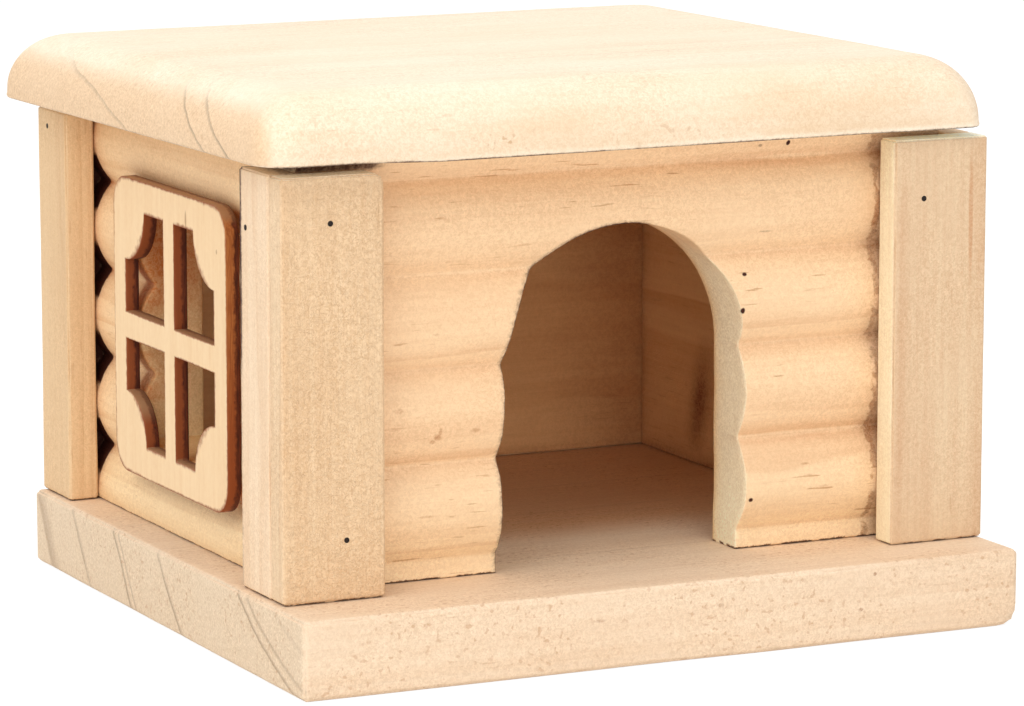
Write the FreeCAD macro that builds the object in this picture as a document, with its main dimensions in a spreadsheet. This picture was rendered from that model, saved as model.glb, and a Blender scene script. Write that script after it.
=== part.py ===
import FreeCAD, Part
import math
import os
import Sketcher

# Wooden hamster house: a base board, four walls, corner boards, a window plate and a loose roof.
# Millimetres, +Z up, front towards -Y. The origin is the middle of the base board's underside.

doc = FreeCAD.newDocument("hamster_house")
sheet = doc.addObject("Spreadsheet::Sheet", "dims")

sizes = {
    # base board
    "base_length": 120.0,
    "base_depth": 111.0,
    "base_thickness": 12.0,
    "base_edge_round": 1.2,
    # how far the shell of corner boards stands in from the base's edges; its back is flush
    "left_setback": 1.5,
    "right_setback": 0.3,
    "front_setback": 10.6,
    # corner boards and the narrow boards on the sides
    "board_thickness": 5.0,
    "board_roof_gap": 2.0,
    "board_edge_round": 0.4,
    "corner_board_width": 16.5,
    "side_back_board_width": 12.5,
    # walls
    "wall_height": 65.0,
    "front_wall_thickness": 11.0,
    "left_wall_thickness": 11.0,
    "right_wall_thickness": 7.2,
    "back_wall_thickness": 7.5,
    # log profile: height of one log, depth of its grooves, and the lowest groove above the base
    "log_pitch": 14.3,
    "groove_depth": 3.0,
    "front_groove_start": 3.3,
    "side_groove_start": 8.7,
    # arched doorway: its middle from the base's middle, and its springing line above the base
    "door_width": 40.8,
    "door_offset": 0.1,
    "door_spring": 31.8,
    # window plate: four panes, each with a quarter disc left standing in its outer corner
    "window_width": 46.4,
    "window_height": 47.0,
    "window_thickness": 2.2,
    "window_corner_round": 4.8,
    "window_rim": 5.1,
    "muntin_width": 4.4,
    "crossbar_height": 4.3,
    "pane_scallop": 8.0,
    "window_offset": 6.0,
    "window_middle_height": 31.5,
    "opening_margin": 0.4,
    # roof board, set a little off the middle and turned by some degrees
    "roof_length": 122.0,
    "roof_depth": 105.5,
    "roof_thickness": 10.4,
    "roof_edge_round": 9.0,
    "roof_corner_round": 6.0,
    "roof_offset_left": 3.2,
    "roof_offset_back": 4.4,
    "roof_turn": 1.5,
    # cleats under the roof board, inside the side walls
    "cleat_width": 8.0,
    "cleat_height": 8.0,
    "cleat_clearance": 1.0,
    "cleat_end_gap": 8.0,
    "cleat_brad_inset": 12.0,
    # brads
    "brad_radius": 0.35,
    "brad_head_radius": 0.42,
    "brad_head_thickness": 0.4,
    "brad_point_length": 1.2,
    "short_brad_length": 14.0,
    "long_brad_length": 24.0,
    # brads in the corner boards: in from the board's outer edge, and down from its top or up
    "left_upper_brad_across": 7.8,
    "left_upper_brad_down": 7.0,
    "left_lower_brad_across": 10.1,
    "left_lower_brad_up": 9.1,
    "right_brad_across": 11.3,
    "right_brad_down": 9.2,
    "side_front_brad_across": 8.4,
    "side_front_brad_down": 8.8,
    "side_back_brad_across": 4.5,
    "side_back_brad_down": 2.9,
    # brads driven up through the base: from the ends of the wall that they hold
    "front_base_brad_inset": 18.0,
    "side_base_brad_inset": 9.0,
}

for row, (alias, value) in enumerate(sizes.items(), start=1):
    sheet.set(f"A{row}", alias)
    sheet.set(f"B{row}", str(value))
    sheet.setAlias(f"B{row}", alias)
doc.recompute()

# Planes that several pieces share, as expressions on the sheet.
shell_left = "(-dims.base_length / 2 + dims.left_setback)"
shell_right = "(dims.base_length / 2 - dims.right_setback)"
shell_front = "(-dims.base_depth / 2 + dims.front_setback)"
shell_back = "(dims.base_depth / 2)"
crest_left = f"({shell_left} + dims.board_thickness)"
crest_right = f"({shell_right} - dims.board_thickness)"
crest_front = f"({shell_front} + dims.board_thickness)"
room_left = f"({crest_left} + dims.left_wall_thickness)"
room_right = f"({crest_right} - dims.right_wall_thickness)"
room_front = f"({crest_front} + dims.front_wall_thickness)"
room_back = f"({shell_back} - dims.back_wall_thickness)"
room_depth = f"({room_back} - {room_front})"
base_top = "dims.base_thickness"
wall_top = "(dims.base_thickness + dims.wall_height)"
board_height = "(dims.wall_height - dims.board_roof_gap)"
board_top = f"({base_top} + {board_height})"
# A circle through two neighbouring grooves that touches the crest plane between them.
log_radius = "((dims.log_pitch / 2) ^ 2 + dims.groove_depth ^ 2) / (2 * dims.groove_depth)"
# Middle of the wood that is left behind the grooves, where brads find hold.
left_wall_core = f"({crest_left} + (dims.groove_depth + dims.left_wall_thickness) / 2)"
right_wall_core = f"({crest_right} - (dims.groove_depth + dims.right_wall_thickness) / 2)"
front_wall_core = f"({crest_front} + (dims.groove_depth + dims.front_wall_thickness) / 2)"
back_wall_core = f"({shell_back} - dims.back_wall_thickness / 2)"

along_x = FreeCAD.Vector(1, 0, 0)
along_y = FreeCAD.Vector(0, 1, 0)
along_z = FreeCAD.Vector(0, 0, 1)
through_all = 1


def number(expression):
    return float(sheet.evalExpression(expression))


def place(item, x, y, z, rotation=None):
    if rotation:
        item.Placement = FreeCAD.Placement(FreeCAD.Vector(), rotation)
    item.setExpression(".Placement.Base.x", x)
    item.setExpression(".Placement.Base.y", y)
    item.setExpression(".Placement.Base.z", z)


def new_body(label):
    body = doc.addObject("PartDesign::Body", label)
    body.Label = label
    return body


def origin_plane(body, role):
    return next(plane for plane in body.Origin.OriginFeatures if plane.Role == role)


def sketch_on(body, role):
    sketch = body.newObject("Sketcher::SketchObject", f"{body.Name}_sketch")
    sketch.AttachmentSupport = (origin_plane(body, role), "")
    sketch.MapMode = "FlatFace"
    return sketch


def bind(sketch, expression, kind, *where):
    """Adds a constraint whose value follows an expression."""
    index = sketch.addConstraint(Sketcher.Constraint(kind, *where, number(expression)))
    sketch.setExpression(f"Constraints[{index}]", expression)


def join(sketch, first, first_end, second, second_end):
    sketch.addConstraint(Sketcher.Constraint("Coincident", first, first_end, second, second_end))


def line(sketch, start, end):
    """A straight line that stays level or upright."""
    index = sketch.addGeometry(Part.LineSegment(FreeCAD.Vector(*start), FreeCAD.Vector(*end)), False)
    level = abs(start[1] - end[1]) < abs(start[0] - end[0])
    sketch.addConstraint(Sketcher.Constraint("Horizontal" if level else "Vertical", index))
    return index


def arc(sketch, centre, radius, start_angle, end_angle):
    circle = Part.Circle(FreeCAD.Vector(*centre), along_z, radius)
    shape = Part.ArcOfCircle(circle, math.radians(start_angle), math.radians(end_angle))
    return sketch.addGeometry(shape, False)


def rectangle(sketch, width, height, corner=None, centred=False):
    """A rectangle: centred on the sketch's origin, or from its corner, or from the origin."""
    x0, y0 = (number(corner[0]), number(corner[1])) if corner else (0.0, 0.0)
    if centred:
        x0, y0 = -number(width) / 2, -number(height) / 2
    x1 = x0 + number(width)
    y1 = y0 + number(height)
    corners = [(x0, y0, 0), (x1, y0, 0), (x1, y1, 0), (x0, y1, 0)]
    sides = [line(sketch, corners[i], corners[(i + 1) % 4]) for i in range(4)]
    for i in range(4):
        join(sketch, sides[i], 2, sides[(i + 1) % 4], 1)
    bind(sketch, width, "DistanceX", sides[0], 1, sides[0], 2)
    bind(sketch, height, "DistanceY", sides[1], 1, sides[1], 2)
    if centred:
        sketch.addConstraint(Sketcher.Constraint("Symmetric", sides[0], 1, sides[2], 1, -1, 1))
    elif corner:
        bind(sketch, corner[0], "DistanceX", -1, 1, sides[0], 1)
        bind(sketch, corner[1], "DistanceY", -1, 1, sides[0], 1)
    else:
        join(sketch, -1, 1, sides[0], 1)


def pad(body, sketch, length, backwards=False):
    feature = body.newObject("PartDesign::Pad", f"{body.Name}_pad")
    feature.Profile = sketch
    feature.Reversed = backwards
    feature.setExpression("Length", length)
    doc.recompute()
    return feature


def cut_through(body, sketch):
    """Cuts the sketch right through the body, forwards along the sketch's normal."""
    before = body.Shape.Volume
    feature = body.newObject("PartDesign::Pocket", f"{body.Name}_pocket")
    feature.Profile = sketch
    feature.Type = through_all
    feature.Reversed = True
    doc.recompute()
    if not body.Shape.Volume < before:
        raise RuntimeError(f"the pocket in {body.Label} cuts nothing")
    return feature


def round_edges(body, radius, wanted):
    """Fillets the edges of the body's tip that the function wanted picks."""
    base = body.Tip
    names = [f"Edge{i}" for i, edge in enumerate(base.Shape.Edges, start=1) if wanted(edge)]
    feature = body.newObject("PartDesign::Fillet", f"{body.Name}_round")
    feature.Base = (base, names)
    feature.setExpression("Radius", radius)
    doc.recompute()
    return feature


def runs_along(direction):
    def wanted(edge):
        span = edge.lastVertex().Point - edge.firstVertex().Point
        return span.Length > 0 and abs(span.normalize().dot(direction)) > 0.999
    return wanted


def board(label, width, depth, height, edge_round="", centred=False):
    """A plain board standing on its local origin, with its four upright edges eased if asked."""
    body = new_body(label)
    sketch = sketch_on(body, "XY_Plane")
    rectangle(sketch, width, depth, centred=centred)
    pad(body, sketch, height)
    if edge_round:
        round_edges(body, edge_round, runs_along(along_z))
    return body


def log_section(sketch, thickness, groove_start):
    """The milled section of a log wall: crests on the upright axis, flat back at its thickness."""
    radius = number(log_radius)
    pitch = number("dims.log_pitch")
    height = number("dims.wall_height")
    start = number(groove_start)
    depth = number(thickness)
    log_count = math.floor((height - start) / pitch) + 2
    arcs = []
    for i in range(log_count):
        middle = start + (i - 0.5) * pitch
        low = max(middle - pitch / 2, 0.0)
        high = min(middle + pitch / 2, height)
        low_angle = 180 + math.degrees(math.asin((middle - low) / radius))
        high_angle = 180 - math.degrees(math.asin((high - middle) / radius))
        arcs.append(arc(sketch, (radius, middle, 0), radius, high_angle, low_angle))
    bottom = line(sketch, (depth, 0, 0), (0.5, 0, 0))
    top = line(sketch, (0.5, height, 0), (depth, height, 0))
    back = line(sketch, (depth, height, 0), (depth, 0, 0))
    for i in range(1, log_count):
        join(sketch, arcs[i - 1], 1, arcs[i], 2)
        sketch.addConstraint(Sketcher.Constraint("Vertical", arcs[i - 1], 3, arcs[i], 3))
        sketch.addConstraint(Sketcher.Constraint("Equal", arcs[0], arcs[i]))
        bind(sketch, "dims.log_pitch", "DistanceY", arcs[i - 1], 3, arcs[i], 3)
    join(sketch, bottom, 2, arcs[0], 2)
    join(sketch, top, 1, arcs[-1], 1)
    join(sketch, top, 2, back, 1)
    join(sketch, back, 2, bottom, 1)
    sketch.addConstraint(Sketcher.Constraint("PointOnObject", bottom, 1, -1))
    bind(sketch, thickness, "DistanceX", -1, 1, bottom, 1)
    bind(sketch, "dims.wall_height", "DistanceY", back, 2, back, 1)
    bind(sketch, log_radius, "Radius", arcs[0])
    bind(sketch, log_radius, "DistanceX", -1, 1, arcs[1], 3)
    bind(sketch, f"{groove_start} + dims.log_pitch / 2", "DistanceY", -1, 1, arcs[1], 3)


def log_wall(label, thickness, length, groove_start):
    """A log wall: local X runs into the wall from its crests, local Y along its length."""
    body = new_body(label)
    sketch = sketch_on(body, "XZ_Plane")
    log_section(sketch, thickness, groove_start)
    pad(body, sketch, length, backwards=True)
    return body


def doorway(sketch, middle):
    """A round-headed opening that stands on the sketch's level axis."""
    centre = number(middle)
    spring = number("dims.door_spring")
    radius = number("dims.door_width") / 2
    sill = line(sketch, (centre - radius, 0, 0), (centre + radius, 0, 0))
    right = line(sketch, (centre + radius, 0, 0), (centre + radius, spring, 0))
    head = arc(sketch, (centre, spring, 0), radius, 0, 180)
    left = line(sketch, (centre - radius, spring, 0), (centre - radius, 0, 0))
    join(sketch, sill, 2, right, 1)
    join(sketch, right, 2, head, 1)
    join(sketch, head, 2, left, 1)
    join(sketch, left, 2, sill, 1)
    sketch.addConstraint(Sketcher.Constraint("PointOnObject", sill, 1, -1))
    sketch.addConstraint(Sketcher.Constraint("Horizontal", head, 1, head, 3))
    sketch.addConstraint(Sketcher.Constraint("Horizontal", head, 2, head, 3))
    bind(sketch, "dims.door_width / 2", "Radius", head)
    bind(sketch, middle, "DistanceX", -1, 1, head, 3)
    bind(sketch, "dims.door_spring", "DistanceY", -1, 1, head, 3)


def pane(sketch):
    """The upper right pane: a rectangle whose outer corner keeps a quarter disc of wood."""
    inner = "dims.muntin_width / 2"
    lower = "dims.crossbar_height / 2"
    outer = "dims.window_width / 2 - dims.window_rim"
    upper = "dims.window_height / 2 - dims.window_rim"
    x0, y0, x1, y1 = number(inner), number(lower), number(outer), number(upper)
    scallop = number("dims.pane_scallop")
    sill = line(sketch, (x0, y0, 0), (x1, y0, 0))
    side = line(sketch, (x1, y0, 0), (x1, y1 - scallop, 0))
    corner = arc(sketch, (x1, y1, 0), scallop, 180, 270)
    head = line(sketch, (x1 - scallop, y1, 0), (x0, y1, 0))
    muntin = line(sketch, (x0, y1, 0), (x0, y0, 0))
    join(sketch, sill, 2, side, 1)
    join(sketch, side, 2, corner, 2)
    join(sketch, corner, 1, head, 1)
    join(sketch, head, 2, muntin, 1)
    join(sketch, muntin, 2, sill, 1)
    sketch.addConstraint(Sketcher.Constraint("Vertical", corner, 2, corner, 3))
    sketch.addConstraint(Sketcher.Constraint("Horizontal", corner, 1, corner, 3))
    bind(sketch, "dims.pane_scallop", "Radius", corner)
    bind(sketch, inner, "DistanceX", -1, 1, sill, 1)
    bind(sketch, lower, "DistanceY", -1, 1, sill, 1)
    bind(sketch, outer, "DistanceX", -1, 1, corner, 3)
    bind(sketch, upper, "DistanceY", -1, 1, corner, 3)


def brad(label, length):
    """A brad whose head lies on its local origin and whose point is towards +Z."""
    body = new_body(label)
    sketch = sketch_on(body, "XZ_Plane")
    head = number("dims.brad_head_radius")
    shank = number("dims.brad_radius")
    neck = number("dims.brad_head_thickness")
    tip = number(length)
    taper = tip - number("dims.brad_point_length")
    points = [(0, 0, 0), (head, 0, 0), (head, neck, 0), (shank, neck, 0), (shank, taper, 0), (0, tip, 0)]
    flats = [line(sketch, points[i], points[i + 1]) for i in range(4)]
    slope = sketch.addGeometry(Part.LineSegment(FreeCAD.Vector(*points[4]), FreeCAD.Vector(*points[5])))
    axis = line(sketch, points[5], points[0])
    chain = flats + [slope, axis]
    for i in range(6):
        join(sketch, chain[i], 2, chain[(i + 1) % 6], 1)
    join(sketch, -1, 1, flats[0], 1)
    bind(sketch, "dims.brad_head_radius", "DistanceX", flats[0], 1, flats[0], 2)
    bind(sketch, "dims.brad_head_thickness", "DistanceY", flats[1], 1, flats[1], 2)
    bind(sketch, "dims.brad_radius", "DistanceX", -1, 1, flats[3], 1)
    bind(sketch, "dims.brad_point_length", "DistanceY", slope, 1, slope, 2)
    bind(sketch, length, "DistanceY", axis, 2, axis, 1)
    feature = body.newObject("PartDesign::Revolution", f"{label}_turned")
    feature.Profile = sketch
    feature.ReferenceAxis = (sketch, ["V_Axis"])
    feature.Angle = 360
    doc.recompute()
    return body


def brad_group(label, master, spots):
    """One brad for each (x, y, z, direction) in spots, as separate solids of one sub-part."""
    links = []
    for i, (x, y, z, direction) in enumerate(spots, start=1):
        link = doc.addObject("App::Link", f"{label}_{i}")
        link.LinkedObject = master
        place(link, x, y, z, FreeCAD.Rotation(along_z, direction))
        links.append(link)
    group = doc.addObject("Part::Compound", label)
    group.Label = label
    group.Links = links
    return group


def nailed(label, wood, groups):
    """The piece of wood with the holes that its brads have made."""
    tool = groups[0]
    if len(groups) > 1:
        tool = doc.addObject("Part::Compound", f"{label}_brads")
        tool.Links = groups
    piece = doc.addObject("Part::Cut", label)
    piece.Label = label
    piece.Base = wood
    piece.Tool = tool
    return piece


# Base board, its edges worn round.
base = board("base_blank", "dims.base_length", "dims.base_depth", "dims.base_thickness", centred=True)
round_edges(base, "dims.base_edge_round", lambda edge: True)

# Front wall: spans between the crest planes of the side walls, with the doorway cut through.
front = log_wall("front_wall_blank", "dims.front_wall_thickness", f"{crest_right} - {crest_left}",
                 "dims.front_groove_start")
door_sketch = sketch_on(front, "YZ_Plane")
doorway(door_sketch, f"{crest_right} - dims.door_offset")
cut_through(front, door_sketch)
place(front, crest_right, crest_front, base_top, FreeCAD.Rotation(along_z, 90))

# Side walls stand between the front and back walls.
left = log_wall("left_wall_blank", "dims.left_wall_thickness", room_depth, "dims.side_groove_start")
field_width = "(dims.window_width - 2 * dims.window_rim + 2 * dims.opening_margin)"
field_height = "(dims.window_height - 2 * dims.window_rim + 2 * dims.opening_margin)"
opening_sketch = sketch_on(left, "YZ_Plane")
opening_corner = (f"dims.window_offset - {room_front} - {field_width} / 2",
                  f"dims.window_middle_height - {field_height} / 2")
rectangle(opening_sketch, field_width, field_height, opening_corner)
cut_through(left, opening_sketch)
place(left, crest_left, room_front, base_top)

right = log_wall("right_wall_blank", "dims.right_wall_thickness", room_depth, "dims.side_groove_start")
place(right, crest_right, room_back, base_top, FreeCAD.Rotation(along_z, 180))

back = board("back_wall_blank", f"{crest_right} - {crest_left}", "dims.back_wall_thickness",
             "dims.wall_height")
place(back, crest_left, room_back, base_top)

# Front corner boards lie on the crests of the front wall and lap the side boards' front edges.
corner_boards = {}
for side, start in (("left", shell_left), ("right", f"{shell_right} - dims.corner_board_width")):
    corner_boards[side] = board(f"front_{side}_corner_board_blank", "dims.corner_board_width",
                                "dims.board_thickness", board_height, "dims.board_edge_round")
    place(corner_boards[side], start, shell_front, base_top)

# Side boards: the front ones cover the front wall's end grain, the back ones the back wall's.
side_boards = {}
for side, start in (("left", shell_left), ("right", crest_right)):
    for end, depth, position in (
        ("front", "dims.front_wall_thickness", crest_front),
        ("back", "dims.side_back_board_width", f"{shell_back} - dims.side_back_board_width"),
    ):
        blank = board(f"{side}_{end}_side_board_blank", "dims.board_thickness", depth,
                      board_height, "dims.board_edge_round")
        place(blank, start, position, base_top)
        side_boards[side, end] = blank

# Window plate, glued on the left wall's crests and centred on its own cross.
window = new_body("window_frame")
plate_sketch = sketch_on(window, "YZ_Plane")
rectangle(plate_sketch, "dims.window_width", "dims.window_height", centred=True)
pad(window, plate_sketch, "dims.window_thickness", backwards=True)
round_edges(window, "dims.window_corner_round", runs_along(along_x))
pane_sketch = sketch_on(window, "YZ_Plane")
pane(pane_sketch)
pane_cut = window.newObject("PartDesign::Pocket", "pane_cut")
pane_cut.Profile = pane_sketch
pane_cut.Type = through_all
doc.recompute()
panes = window.newObject("PartDesign::MultiTransform", "four_panes")
across = window.newObject("PartDesign::Mirrored", "panes_across")
across.MirrorPlane = (origin_plane(window, "XZ_Plane"), [""])
below = window.newObject("PartDesign::Mirrored", "panes_below")
below.MirrorPlane = (origin_plane(window, "XY_Plane"), [""])
panes.Originals = [pane_cut]
panes.Transformations = [across, below]
window.Tip = panes
place(window, crest_left, "dims.window_offset", f"{base_top} + dims.window_middle_height")
doc.recompute()

# Roof board: quarter-round upper edges, rests on the tops of the walls.
roof = board("roof_blank", "dims.roof_length", "dims.roof_depth", "dims.roof_thickness", centred=True)
roof_top = number("dims.roof_thickness")
round_edges(roof, "dims.roof_edge_round", lambda edge: edge.CenterOfMass.z > roof_top - 0.01)
round_edges(roof, "dims.roof_corner_round", runs_along(along_z))
place(roof, "-dims.roof_offset_left", "dims.roof_offset_back", wall_top)
roof.setExpression(".Placement.Rotation.Angle", "dims.roof_turn")

# Cleats under the roof board drop in beside the side walls.
cleats = {}
cleat_length = f"({room_depth} - 2 * dims.cleat_end_gap)"
cleat_bottom = f"({wall_top} - dims.cleat_height)"
cleat_start = {
    "left": f"({room_left} + dims.cleat_clearance)",
    "right": f"({room_right} - dims.cleat_clearance - dims.cleat_width)",
}
for side, start in cleat_start.items():
    cleats[side] = board(f"roof_cleat_{side}_blank", "dims.cleat_width", cleat_length, "dims.cleat_height")
    place(cleats[side], start, f"{room_front} + dims.cleat_end_gap", cleat_bottom)

# Brads: short ones for the boards and cleats, long ones for the walls.
short_brad = brad("short_brad", "dims.short_brad_length")
long_brad = brad("long_brad", "dims.long_brad_length")

side_front_spot = (f"{crest_front} + dims.side_front_brad_across", f"{board_top} - dims.side_front_brad_down")
side_back_spot = (f"{shell_back} - dims.side_back_brad_across", f"{board_top} - dims.side_back_brad_down")
corner_board_brads = brad_group("corner_board_brads", short_brad, [
    (f"{shell_left} + dims.left_upper_brad_across", shell_front,
     f"{board_top} - dims.left_upper_brad_down", along_y),
    (f"{shell_left} + dims.left_lower_brad_across", shell_front,
     f"{base_top} + dims.left_lower_brad_up", along_y),
    (f"{shell_right} - dims.right_brad_across", shell_front,
     f"{board_top} - dims.right_brad_down", along_y),
    (shell_left, *side_front_spot, along_x),
    (shell_left, *side_back_spot, along_x),
    (shell_right, *side_front_spot, -along_x),
    (shell_right, *side_back_spot, -along_x),
])

# Brads through the front and back walls sit on log crests, so that their heads lie flush.
wall_spots = []
for x in (left_wall_core, right_wall_core):
    for crest in (1.5, 2.5):
        height = f"{base_top} + dims.front_groove_start + {crest} * dims.log_pitch"
        wall_spots.append((x, crest_front, height, along_y))
    for crest in (0.5, 2.5):
        height = f"{base_top} + dims.side_groove_start + {crest} * dims.log_pitch"
        wall_spots.append((x, shell_back, height, -along_y))
wall_brads = brad_group("wall_brads", long_brad, wall_spots)

base_spots = []
for y in (front_wall_core, back_wall_core):
    base_spots.append((f"{crest_left} + dims.front_base_brad_inset", y, "0", along_z))
    base_spots.append((f"{crest_right} - dims.front_base_brad_inset", y, "0", along_z))
for x in (left_wall_core, right_wall_core):
    base_spots.append((x, f"{room_front} + dims.side_base_brad_inset", "0", along_z))
    base_spots.append((x, f"{room_back} - dims.side_base_brad_inset", "0", along_z))
base_brads = brad_group("base_brads", long_brad, base_spots)

cleat_spots = []
for start in cleat_start.values():
    middle = f"{start} + dims.cleat_width / 2"
    near = f"{room_front} + dims.cleat_end_gap + dims.cleat_brad_inset"
    far = f"{room_back} - dims.cleat_end_gap - dims.cleat_brad_inset"
    cleat_spots.append((middle, near, cleat_bottom, along_z))
    cleat_spots.append((middle, far, cleat_bottom, along_z))
cleat_brads = brad_group("cleat_brads", short_brad, cleat_spots)

subparts = [
    nailed("base_board", base, [base_brads]),
    nailed("front_wall", front, [corner_board_brads, wall_brads, base_brads]),
    nailed("left_wall", left, [wall_brads, base_brads]),
    nailed("right_wall", right, [wall_brads, base_brads]),
    nailed("back_wall", back, [corner_board_brads, wall_brads, base_brads]),
    nailed("front_left_corner_board", corner_boards["left"], [corner_board_brads]),
    nailed("front_right_corner_board", corner_boards["right"], [corner_board_brads]),
    nailed("left_front_side_board", side_boards["left", "front"], [corner_board_brads]),
    nailed("left_back_side_board", side_boards["left", "back"], [corner_board_brads]),
    nailed("right_front_side_board", side_boards["right", "front"], [corner_board_brads]),
    nailed("right_back_side_board", side_boards["right", "back"], [corner_board_brads]),
    window,
    nailed("roof_board", roof, [cleat_brads]),
    nailed("roof_cleat_left", cleats["left"], [cleat_brads]),
    nailed("roof_cleat_right", cleats["right"], [cleat_brads]),
    corner_board_brads,
    wall_brads,
    base_brads,
    cleat_brads,
]
doc.recompute()

for item in doc.Objects:
    if "Invalid" in item.State or "Error" in item.State:
        raise RuntimeError(f"{item.Label}: {item.State}")
for item in subparts:
    if item.Shape.isNull() or not item.Shape.isValid():
        raise RuntimeError(f"{item.Label} has no valid shape")

os.makedirs("parts", exist_ok=True)
for item in subparts:
    item.Shape.exportStep(f"parts/{item.Label}.step")
    box = item.Shape.BoundBox
    print(f"{item.Label}: {len(item.Shape.Solids)} solid(s), {item.Shape.Volume:.0f} mm3, "
          f"x {box.XMin:.2f}..{box.XMax:.2f}, y {box.YMin:.2f}..{box.YMax:.2f}, "
          f"z {box.ZMin:.2f}..{box.ZMax:.2f}")
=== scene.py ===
import bpy
import math
import numpy as np
from mathutils import Matrix, Vector


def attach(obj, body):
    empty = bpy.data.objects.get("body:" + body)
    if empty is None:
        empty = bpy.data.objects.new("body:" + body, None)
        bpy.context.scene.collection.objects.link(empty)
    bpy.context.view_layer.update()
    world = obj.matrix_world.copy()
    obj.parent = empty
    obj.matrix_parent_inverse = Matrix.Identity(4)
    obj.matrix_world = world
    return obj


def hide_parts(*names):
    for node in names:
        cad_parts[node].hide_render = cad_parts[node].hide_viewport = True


# Wooden hamster house. Shapes are worked out in millimetres and go into the meshes in metres.
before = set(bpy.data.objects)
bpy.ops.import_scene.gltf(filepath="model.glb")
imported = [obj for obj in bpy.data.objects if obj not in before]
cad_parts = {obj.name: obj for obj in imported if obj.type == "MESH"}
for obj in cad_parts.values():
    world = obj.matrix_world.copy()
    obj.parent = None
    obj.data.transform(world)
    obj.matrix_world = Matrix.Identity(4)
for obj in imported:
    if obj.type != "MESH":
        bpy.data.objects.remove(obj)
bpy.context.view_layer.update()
print("frame loaded:", len(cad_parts), "nodes")

millimetre, perMetre = 0.001, (1000, 1000, 1000)
weld = 0.002  # points closer together than this become one
edgeLines, wallSteps = 6, 9  # grid lines over an eased edge, and steps through a wall
baseTop, boardTop, wallTop = 12, 75, 77
leftFace, rightFace, frontFace, backFace = -53.5, 54.7, -39.9, 55.5  # the walls' outer planes
tableSize = 32
chance = np.random.default_rng(11)
noiseTable = chance.random((tableSize, tableSize, tableSize))


def softNoise(points, size, shift=0.0):
    # random values 0..1 at the corners of cubes of this size, blended between the corners
    spot = points / size + shift
    cell = np.floor(spot).astype(int)
    part = spot - cell
    part = part * part * (3 - 2 * part)
    total = np.zeros(points.shape[:-1])
    for corner in range(8):
        step = np.array([corner & 1, corner >> 1 & 1, corner >> 2 & 1])
        weight = np.prod(np.where(step, part, 1 - part), axis=-1)
        place = (cell + step) % tableSize
        total += weight * noiseTable[place[..., 0], place[..., 1], place[..., 2]]
    return total


def rise(value, start, over):
    # 0 up to the start, then evenly up to 1 over this length; a negative length runs downwards
    return np.clip((value - start) / over, 0, 1)


def nearEdge(easing, count=edgeLines):
    # distances from an edge: easing * (1 - tan), for angles falling evenly from 45 degrees to 0
    return easing * (1 - np.tan(np.radians(np.linspace(45, 0, count))))


def easedLines(low, high, easing, step):
    # grid lines from low to high: close together over the eased edges, evenly apart between them
    near = nearEdge(easing)[:-1]
    count = max(int(round((high - low - 2 * easing) / step)), 1)
    middle = np.linspace(low + easing, high - easing, count + 1)
    return np.concatenate([low + near, middle, high - near[::-1]])


def easedDepth(distance, easing):
    # a quarter circle: how far the face has fallen at this distance from its edge
    inside = np.clip(1 - distance / easing, 0, 1)
    return easing * (1 - np.sqrt(1 - inside ** 2))


def gridQuads(rows, columns, start=0, flip=False):
    # one quad for each cell of a grid whose points are numbered row by row from the start
    index = start + np.arange(rows * columns).reshape(rows, columns)
    quads = np.stack([index[:-1, :-1], index[:-1, 1:], index[1:, 1:], index[1:, :-1]], -1)
    quads = quads.reshape(-1, 4)
    return quads[:, ::-1] if flip else quads


def makePiece(name, points, quads, marks, values):
    # points that fall together become one, and a quad that loses a side becomes a triangle
    key = np.round(points / weld).astype(np.int64)
    _, first, index = np.unique(key, axis=0, return_index=True, return_inverse=True)
    quads = index.reshape(-1)[quads]
    same = quads == np.roll(quads, -1, axis=1)
    sides = 4 - same.sum(axis=1)
    faces = quads[sides == 4].tolist()
    faces += quads[sides == 3][~same[sides == 3]].reshape(-1, 3).tolist()
    mesh = bpy.data.meshes.new(name)
    mesh.from_pydata((points[first] * millimetre).tolist(), [], faces)
    mesh.polygons.foreach_set("use_smooth", np.ones(len(faces), dtype=bool))
    for mark, amount in marks.items():
        layer = mesh.attributes.new(mark, "FLOAT", "POINT")
        layer.data.foreach_set("value", amount[first].astype(np.float32))
    mesh.update()
    piece = bpy.data.objects.new(name, mesh)
    bpy.context.scene.collection.objects.link(piece)
    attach(piece, values["body"])
    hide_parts(values["node"])
    print("made", name, len(faces), "faces")
    return piece


def awayFrom(spots, line):
    # distance from a line or a point: the axes that don't count are 0
    place, axes = np.array(line)
    return np.sqrt((((spots - place) * axes) ** 2).sum(axis=1))


boardNoise = {"waver": 17.0, "dent": 5.0, "nick": 1.3, "wear": 3.0}  # sizes in millimetres


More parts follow.
